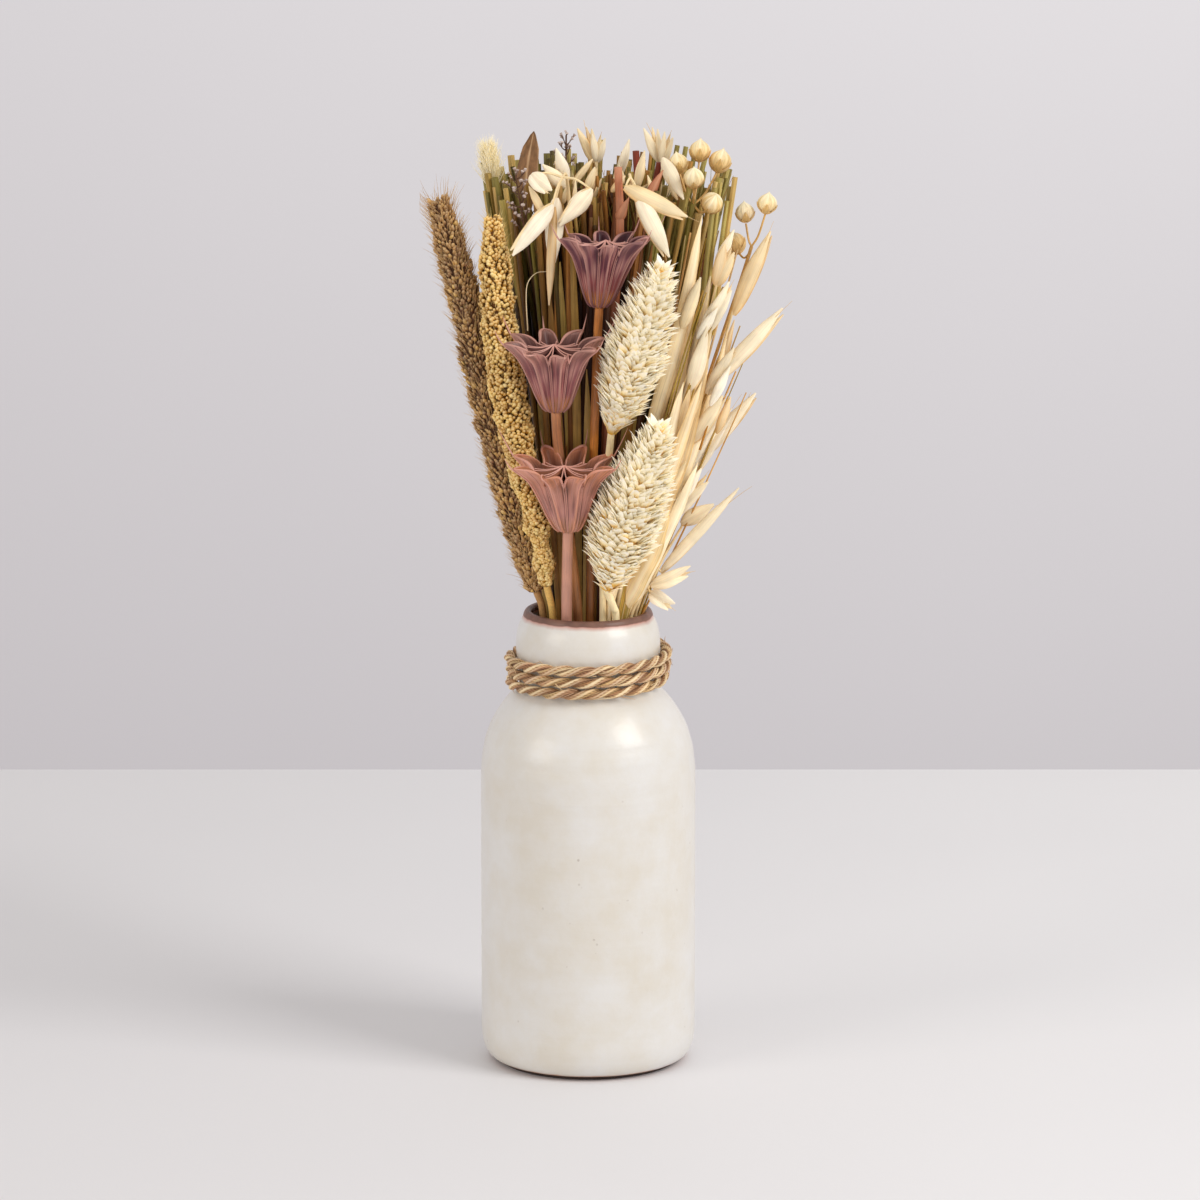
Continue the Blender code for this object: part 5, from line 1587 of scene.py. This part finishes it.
# Routes of the pink stem above the mouth, of its folded leaf, of a small copper leaf caught between the cut
# ends to the right of it, and of the red stem and its fork
PINK_ROUTE = [(5.4, -8.8, 200), (9.4, -11.2, 252), (9.0, -10.6, 277)]
PINK_LEAF = [(9.2, -11.0, 261), (10.2, -12.6, 264), (12.2, -14.4, 268.5)]
COPPER_LEAF = [(17.4, -5.4, 264), (19.4, -6.6, 270), (22.4, -7.0, 275.6)]
RED_ROUTE = [(16.0, 7.0, 236), (15.4, 8.0, 258), (14.4, 9.0, 279)]
RED_FORK = [(15.8, 7.2, 240), (18.4, 6.4, 260), (21.4, 5.4, 276)]


class StemLook(bpy.types.PropertyGroup):
    pink: colour_of("Pink stem", "Orange-pink bark", "#BE7C60")
    red: colour_of("Red stem", "Dark red bark", "#7C3C30")


class BUNCH_OT_stems(bpy.types.Operator):
    """Builds the pink stem with its folded leaf and the forked red stem, cut and hollow at the end"""

    bl_idname = "bunch.stems"
    bl_label = "Coloured stems"

    def execute(self, context):
        look = context.scene.stem_look
        path = stem_path(MOUTH["pink_stem"], *PINK_ROUTE)
        keep_clear(path, 1.3)
        # Painted shade darkens it among the straws, with joints as a sine of the length
        shade = np.interp(path[:, 2], (140, 238, 256), (0.05, 0.08, 0.6)) + 0.1 * np.sin(np.arange(len(path)))
        widths = 1.6 * np.sin(math.pi * np.linspace(0.06, 0.98, 16) ** 0.7) + 0.05
        skins = [
            tubes(path, np.linspace(1.05, 1.2, len(path)), 10, tint=0.5, shade=shade, bore=0.5),
            blade_skin(smooth(PINK_LEAF, 16), widths, 0.6, 0.4, 0.1, 0.9),
            blade_skin(smooth(COPPER_LEAF, 16), widths, 0.4, 0.3, 0.1, 0.0),
        ]
        # Young bark: smooth and slightly waxy, pink over tan, ridged along the stem
        mat = dry_plant(
            "pink_bark",
            ("#4E2618", "#9A5A40", look.pink, "#C98A6A", "#DDAE92"),
            fibre=(0.3, 9.0),
            relief=0.06,
            Roughness=0.5,
        )
        piece("pink_cut_stem", skins, mat, "pink_stem", "pink_stem")

        straight, fork = smooth(RED_ROUTE, 20), smooth(RED_FORK, 20)
        keep_clear(straight, 1.3)
        keep_clear(fork, 1.1)
        skins = [tubes(straight, 1.05, 9, bore=0.5), tubes(fork, 0.9, 9, bore=0.5)]
        # Bark of a dogwood twig: dark red, smooth, dull shine
        mat = dry_plant(
            "dark_red_bark",
            ("#200C0A", "#5C2A22", look.red, "#965040", "#B87A66"),
            fibre=(0.3, 6.0),
            relief=0.04,
            Roughness=0.45,
        )
        piece("red_forked_stem", skins, mat, "red_stem", "red_stem")
        return {"FINISHED"}


# Straw

# The bundle's section is a rounded rectangle of this power. Its centre and its half width and depth at the
# rim, and how much each grows from there over the height of the bundle
SECTION_POWER = 2.2
BUNDLE_HEIGHT = 128.8
RIM_CENTRE = (-0.5, 5.5)
RIM_HALF = (13.4, 9.6)
CENTRE_GROWTH = (6, 6.5)
HALF_GROWTH = (24.2, 12)
# The height of the cut ends in front, how they rise toward the back, and how far each may be off
CUT_LEVEL = 268
CUT_RISE = (2.5, 1.3)
CUT_SPREAD = (-9.0, 1.4)
# No straw stands further back than this
BACK_LIMIT = 35.4
# Outer, middle and inner layer: straws, share of the section at the foot and at the top, level of the foot,
# and how thick they are against the middle radius
STRAW_LAYERS = (
    (112, (0.62, 0.95), (0.9, 0.98), 114.0, (0.7, 1.35)),
    (84, (0.5, 0.78), (0.6, 0.88), 196.0, (0.6, 1.15)),
    (112, (0.05, 0.55), (0.05, 0.6), 226.0, (0.55, 1.1)),
)
# Share of the section that the core, painted dark as shade, fills, and its levels
CORE_SHARE = 0.7
CORE_LEVELS = np.array([FLOOR, 60.0, 112.0, 140.0, 190.0, 238.0])
# Share of the length below which painted shade darkens a straw, and of the straws behind the flowers that
# painted shade dims
FADE_START = 0.78
DIM_SHARE = 0.44
# The hollow of a cut end and the depth of the flutes, as shares of a straw's radius
BORE = 0.62
FLUTE = 0.05
# Foot, top, radius and tint of the pale straws that stand in front at the right, sage and cream
FRONT_STRAWS = (
    ((32.6, -9.6, 222), (38.0, -5.4, 270), 0.8, 0.2),
    ((34.2, -9.0, 224), (39.6, -4.4, 271.4), 0.62, 0.42),
    ((35.4, -9.2, 220), (41.6, -5.0, 266), 0.7, 0.3),
    ((37.0, -8.0, 226), (44.0, -4.0, 273), 0.8, 0.62),
    ((36.2, -6.6, 230), (42.4, -2.6, 270), 0.6, 0.1),
)
# Flat sheaths and thin wisps among the straws: their number, the level of their feet, and the levels of
# the sheaths' tops
SHEATHS = 70
SHEATH_FOOT = 122
SHEATH_TOPS = (215, 266)
WISPS = 150
WISP_FOOT = 250.0


class StrawLook(bpy.types.PropertyGroup):
    olive: colour_of("Olive straw", "The greener straws", "#8B8146")
    tan: colour_of("Tan straw", "The yellower straws", "#BA995E")
    radius: length_of("Straw radius", "Middle radius of a straw", 0.86)


def bundle_point(share, angle, z):
    """A point of the bundle: its section is a rounded rectangle that grows in straight lines from the rim,
    and share is how far out in it the point lies."""
    level = np.maximum((z - RIM) / BUNDLE_HEIGHT, -0.22)
    point = []
    for k, turn in enumerate((np.cos(angle), np.sin(angle))):
        half = (RIM_HALF[k] + HALF_GROWTH[k] * level) * np.sign(turn) * np.abs(turn) ** (2 / SECTION_POWER)
        point.append(half * share + RIM_CENTRE[k] + CENTRE_GROWTH[k] * level)
    return np.stack(np.broadcast_arrays(*point, z), axis=-1)


def pick_rows(paths, t):
    """The point at a share of each path's rows."""
    place = t * (paths.shape[1] - 1)
    low = min(int(place), paths.shape[1] - 2)
    return paths[:, low] + (paths[:, low + 1] - paths[:, low]) * (place - low)


def far_from_stems(paths, radius):
    """True for each path that keeps clear of every noted stem and head."""
    fine = np.concatenate([pick_rows(paths, t)[:, None] for t in np.linspace(0, 1, 24)], axis=1)
    clear = np.ones(len(paths), bool)
    for other, size in stems:
        distance = np.linalg.norm(fine[:, :, None] - other[None, None], axis=-1)
        clear &= ~(distance < size[None, None] + radius[:, None, None]).any(axis=(1, 2))
    return clear


def bundle_core():
    """A core painted dark as shade, so that no light shows through the bundle."""
    core = bundle_point(CORE_SHARE, circle(48)[None], CORE_LEVELS[:, None])
    ends = [bundle_point(0.0, 0.0, z)[None] for z in CORE_LEVELS[[0, -1]]]
    return closed(core[None], *ends, core[None], 0.2, 0.0)


def joint_skin(paths, radius, tint, shade, rng):
    """A short collar on about half of the straws, a little darker than the straw there."""
    marked = rng.random(len(paths)) < 0.5
    where = rng.uniform(0.35, 0.93, len(paths))
    lower = np.array([pick_rows(paths[k : k + 1], w)[0] for k, w in enumerate(where)])
    upper = np.array([pick_rows(paths[k : k + 1], w + 0.01)[0] for k, w in enumerate(where)])
    way = unit(upper - lower)
    joint = lower[:, None] + way[:, None] * np.array([-0.8, -0.3, 0.3, 0.8])[None, :, None]
    size = radius[:, None] * np.array([0.98, 1.14, 1.12, 0.98])
    at = (np.arange(len(paths))[marked], (8 * where[marked]).astype(int))
    tint, shade = tint[at][:, None].clip(0, 1), 0.7 * shade[at][:, None]
    return tubes(joint[marked], size[marked], 7, tint=tint, shade=shade)


def straw_layer(t, middle, count, low, high, start, sizes, rng):
    """One layer of straws, and their joints. A straw runs from its share of the section at the foot to the
    one at the cut, drifts a little round the bundle and bows as a sine. Straws behind the flowers are
    browner, and painted shade dims some of them but for their tops and darkens every straw toward its foot.
    Those at the right are paler."""
    around = 2 * math.pi * (np.arange(count) + rng.uniform(-0.48, 0.48, count)) / count
    drift = rng.normal(0, 0.075, count)
    first, last = rng.uniform(*low, count), rng.uniform(*high, count)
    share = first[:, None] + (last - first)[:, None] * t**0.7
    back = 1 + last * np.sin(around)
    top = CUT_LEVEL + CUT_RISE[0] * back + CUT_RISE[1] * back**2 + rng.uniform(*CUT_SPREAD, count)
    z = start + (top[:, None] - start) * t
    paths = bundle_point(share, around[:, None] + drift[:, None] * t, z)
    bow = rng.normal(0, 0.8, (count, 1, 3)) * np.sin(math.pi * t)[..., None]
    bow[..., 2] = 0
    paths = paths + bow
    paths[..., 1] = np.minimum(paths[..., 1], BACK_LIMIT)
    radius = middle * rng.uniform(*sizes, count)
    kept = far_from_stems(paths, radius + 0.1)
    paths, radius, n = paths[kept], radius[kept], int(kept.sum())
    inner = np.exp(-((paths[:, -1:, 0] - 4) / 15) ** 2) * (paths[:, -1:, 1] < 12)
    tint = rng.uniform(0, 0.72, (n, 1)) + 0.6 * inner + 0.1 * np.sin(2.5 * t + rng.uniform(0, 6, (n, 1)))
    pale = 0.12 * np.clip((paths[:, -1:, 0] - 17) / 13, 0, 1)
    # Painted shade: dim straws behind the flowers, and every straw darker toward its foot
    dim = np.where((rng.random((n, 1)) < DIM_SHARE) & (inner > 0.25), 0.2, 1.0)
    fade = np.where(t < FADE_START, 0.95, 0.5) * (t - FADE_START)
    shade = np.clip(rng.uniform(0.08, 0.62, (n, 1)) * (dim + (1 - dim) * t**4) + fade + pale, 0.0, 1)
    size = radius[:, None] * (1.05 - 0.12 * t)
    straws = tubes(paths, size, 8, tint=tint.clip(0, 1), shade=shade, bore=BORE, flute=FLUTE)
    return [straws, joint_skin(paths, radius, tint, shade, rng)]


def front_straws(t):
    """Pale straight straws in front at the right."""
    low, high, size, tint = (np.array(item, float) for item in zip(*FRONT_STRAWS))
    paths = low[:, None] + (high - low)[:, None] * t[..., None]
    return tubes(paths, size[:, None], 8, tint=tint[:, None], shade=0.62, bore=BORE, flute=FLUTE)


def sheath_skin(t, rng):
    """Flat leaf sheaths among the outer straws."""
    around = rng.uniform(0, 2 * math.pi, SHEATHS)
    first, last = rng.uniform(0.8, 0.95, SHEATHS), rng.uniform(0.9, 0.985, SHEATHS)
    share = first[:, None] + (last - first)[:, None] * t
    top = rng.uniform(*SHEATH_TOPS, SHEATHS)
    turned = around[:, None] + rng.normal(0, 0.08, (SHEATHS, 1)) * t
    paths = bundle_point(share, turned, SHEATH_FOOT + (top[:, None] - SHEATH_FOOT) * t)
    width = rng.uniform(1.0, 2.1, (SHEATHS, 1)) * np.array([0.8, 1, 1, 1, 1, 1, 0.9, 0.6, 0.1])
    kept = far_from_stems(paths, width.max(axis=1) * 0.8)
    n = int(kept.sum())
    tint = rng.uniform(0.5, 1, (n, 1))
    return tubes(paths[kept], width[kept], 8, flat=0.2, tint=tint, shade=rng.uniform(0.3, 0.62, (n, 1)))


def wisp_skin(t, rng):
    """Thin wisps at the cut ends, each bent as the square of its length."""
    around, share = rng.uniform(0, 2 * math.pi, WISPS), rng.uniform(0.3, 0.97, WISPS)
    foot = bundle_point(share, around, np.full(WISPS, WISP_FOOT))
    way = unit(np.column_stack([rng.normal(0.1, 0.25, (WISPS, 2)), np.ones(WISPS)]))
    wisp = foot[:, None] + way[:, None] * (rng.uniform(14, 27, (WISPS, 1)) * t)[..., None]
    wisp = wisp + (t**2)[..., None] * rng.normal(0, 1.6, (WISPS, 1, 3)) * np.array([1, 1, 0])
    wisp[..., 1] = np.minimum(wisp[..., 1], BACK_LIMIT + 0.6)
    return tubes(wisp, np.linspace(0.2, 0.06, 9), 4, tint=rng.uniform(0, 1, (WISPS, 1)), shade=0.4)


class BUNCH_OT_straw(bpy.types.Operator):
    """Builds the straw bundle: a core painted dark as shade and three layers of straws that fan out, each a
    little bent, with joints and hollow cut ends, and leaf sheaths and wisps among them"""

    bl_idname = "bunch.straw"
    bl_label = "Straw bundle"

    def execute(self, context):
        look = context.scene.straw_look
        rng = np.random.default_rng(29)
        t = np.linspace(0, 1, 9)[None]
        skins = [bundle_core()]
        for layer in STRAW_LAYERS:
            skins += straw_layer(t, look.radius / MM, *layer, rng)
        skins += [front_straws(t), sheath_skin(t, rng), wisp_skin(t, rng)]
        # Dry straw: waxy hollow stems, olive where they were cut green and tan where they ripened, near black
        # where painted shade falls deep in the bundle
        mat = dry_plant(
            "dry_straw",
            ("#34190D", "#6A5E32", look.olive, "#A99A5A", look.tan, "#AC7A4A", "#7C4E34", "#E0C88E"),
            fibre=(0.3, 12.0),
            relief=0.05,
            streaks=0.4,
            Roughness=0.5,
        )
        piece("cut_straw_bundle", skins, mat, "straw", "straw_bundle")
        return {"FINISHED"}


# Stage

# For each board in metres: its near low left and far high right corner, how wide its painted shade on the
# left is spread, and how much painted shade darkens it toward the left and toward the table. The table ends a
# little behind the vase. The wall stands far behind that, so that it hides nothing from a view of the back.
BOARDS = {
    "table_top": ((-6, -6, 0), (6, 0.383, 0), 1.0, 0.22, 0.0),
    "back_wall": ((-6, 2.6, -3), (6, 2.6, 3), 1.87, 0.24, 0.45),
}
# Colour of the painted shade on the boards
BOARD_SHADE_COLOUR = "#A9A3A7"
# Glow of the wall, painted light in place of the room's light that the two lamps are too far from, and the
# room's own light
WALL_PAINTED_GLOW = 0.34
ROOM_COLOUR = (0.97, 0.96, 0.95, 1.0)
ROOM_STRENGTH = 0.62
# Place and aim in metres, side and colour of each lamp
LAMPS = {
    "key": ((1.25, -0.85, 1.2), (0, 0, 0.13), 0.9, (1.0, 0.995, 0.98)),
    "fill": ((-1.3, -0.9, 0.7), (0, 0, 0.14), 0.8, (1.0, 0.955, 0.89)),
}
# Place and aim of the camera in metres, and its lens and sensor in millimetres
CAMERA_PLACE = (0.0036, -2.163, 0.600)
CAMERA_AIM = (0.0036, 0, 0.143)
CAMERA_LENS = 218.88
CAMERA_SENSOR = 36.0


class StageLook(bpy.types.PropertyGroup):
    table_top: colour_of("Table", "Pale table top", "#EDEBEC")
    back_wall: colour_of("Wall", "Pale wall behind", "#DEDBDE")
    key: power_of("Key light", "Power of the large light on the right", 18.0)
    fill: power_of("Fill light", "Power of the light on the left", 6.0)


def add_aimed(name, data, place, aim):
    """An object at a place, turned toward its aim."""
    obj = bpy.data.objects.new(name, data)
    obj.location = place
    obj.rotation_euler = (Vector(aim) - Vector(place)).to_track_quat("-Z", "Y").to_euler()
    bpy.context.scene.collection.objects.link(obj)
    return obj


def board_material(name, colour, wide, shade_left, shade_low):
    """Painted board: matt, with a faint tooth of about 1 mm, and painted shade that darkens it toward the
    left and, on the wall, toward the table. The wall glows a little, as painted light."""
    mat, tree, shader = blank("painted_board_" + name, Roughness=0.7)
    place = add(tree, "TexCoord").outputs["Object"]
    apart = add(tree, "SeparateXYZ", {"Vector": place})
    tone = mix(tree, spread(tree, noise(tree, place, 4.0), 0.3, 0.7, 0.0, 0.12), colour, "#D5D2D6")
    tone = mix(tree, spread(tree, apart.outputs["Z"], -0.52, 0.04, shade_low, 0.0), tone, BOARD_SHADE_COLOUR)
    left = spread(tree, apart.outputs["X"], -0.24 * wide, 0.14 * wide, shade_left, 0.0)
    tone = mix(tree, left, tone, BOARD_SHADE_COLOUR)
    # Painted light: the wall glows
    if name == "back_wall":
        tree.links.new(tone.outputs[2], shader.inputs["Emission Color"])
        shader.inputs["Emission Strength"].default_value = WALL_PAINTED_GLOW
    finish_shader(tree, shader, tone.outputs[2], noise(tree, place, 900.0), 0.00003)
    return mat


class BUNCH_OT_stage(bpy.types.Operator):
    """Sets the table, the wall, the soft lights and the camera"""

    bl_idname = "bunch.stage"
    bl_label = "Stage"

    def execute(self, context):
        look = context.scene.stage_look
        scene = context.scene
        for name, (low, high, *finish) in BOARDS.items():
            corners = [low, (high[0], *low[1:]), high, (low[0], *high[1:])]
            mesh = bpy.data.meshes.new(name)
            mesh.from_pydata(corners, [], [(0, 1, 2, 3)])
            mesh.materials.append(board_material(name, getattr(look, name), *finish))
            obj = bpy.data.objects.new(name, mesh)
            scene.collection.objects.link(obj)
        world = bpy.data.worlds.new("soft_room")
        world.use_nodes = True
        background = world.node_tree.nodes["Background"]
        background.inputs["Color"].default_value = ROOM_COLOUR
        background.inputs["Strength"].default_value = ROOM_STRENGTH
        scene.world = world
        for name, (place, aim, side, colour) in LAMPS.items():
            lamp = bpy.data.lights.new(name, "AREA")
            lamp.shape = "RECTANGLE"
            lamp.size = lamp.size_y = side
            lamp.energy = getattr(look, name)
            lamp.color = colour
            add_aimed(name, lamp, place, aim)
        scene.view_settings.view_transform = "Standard"
        camera = bpy.data.cameras.new("photo_camera")
        camera.lens = CAMERA_LENS
        camera.sensor_width = CAMERA_SENSOR
        camera.clip_end = 20.0
        scene.camera = add_aimed("photo_camera", camera, CAMERA_PLACE, CAMERA_AIM)
        return {"FINISHED"}


# Add-on

# Each group of values on the scene, and the operator that reads it
PARTS = {
    "vase_look": (VaseLook, BUNCH_OT_vase),
    "rope_look": (RopeLook, BUNCH_OT_rope),
    "millet_look": (MilletLook, BUNCH_OT_millet),
    "pod_look": (PodLook, BUNCH_OT_pods),
    "canary_look": (CanaryLook, BUNCH_OT_canary),
    "oat_look": (OatLook, BUNCH_OT_oats),
    "leaf_look": (LeafLook, BUNCH_OT_leaves),
    "flax_look": (FlaxLook, BUNCH_OT_flax),
    "sprig_look": (SprigLook, BUNCH_OT_sprigs),
    "stem_look": (StemLook, BUNCH_OT_stems),
    "straw_look": (StrawLook, BUNCH_OT_straw),
    "stage_look": (StageLook, BUNCH_OT_stage),
}


class BUNCH_PT_panel(bpy.types.Panel):
    """Lists each piece's values above the button that builds it"""

    bl_idname = "BUNCH_PT_panel"
    bl_label = "Dried flowers"
    bl_space_type = "VIEW_3D"
    bl_region_type = "UI"
    bl_category = "Dried flowers"

    def draw(self, context):
        for look, (group, operator) in PARTS.items():
            box = self.layout.box()
            for name in group.__annotations__:
                box.prop(getattr(context.scene, look), name)
            box.operator(operator.bl_idname)


def register():
    """Registers each group of values with its operator, then the panel."""
    for look, (group, operator) in PARTS.items():
        bpy.utils.register_class(group)
        setattr(bpy.types.Scene, look, PointerProperty(type=group))
        bpy.utils.register_class(operator)
    bpy.utils.register_class(BUNCH_PT_panel)


def unregister():
    """Takes all of them off again."""
    bpy.utils.unregister_class(BUNCH_PT_panel)
    for look, (group, operator) in reversed(PARTS.items()):
        bpy.utils.unregister_class(operator)
        delattr(bpy.types.Scene, look)
        bpy.utils.unregister_class(group)


def main():
    """Builds every piece and the stage."""
    register()
    for _, operator in PARTS.values():
        group, name = operator.bl_idname.split(".")
        getattr(getattr(bpy.ops, group), name)()


if __name__ == "__main__":
    main()
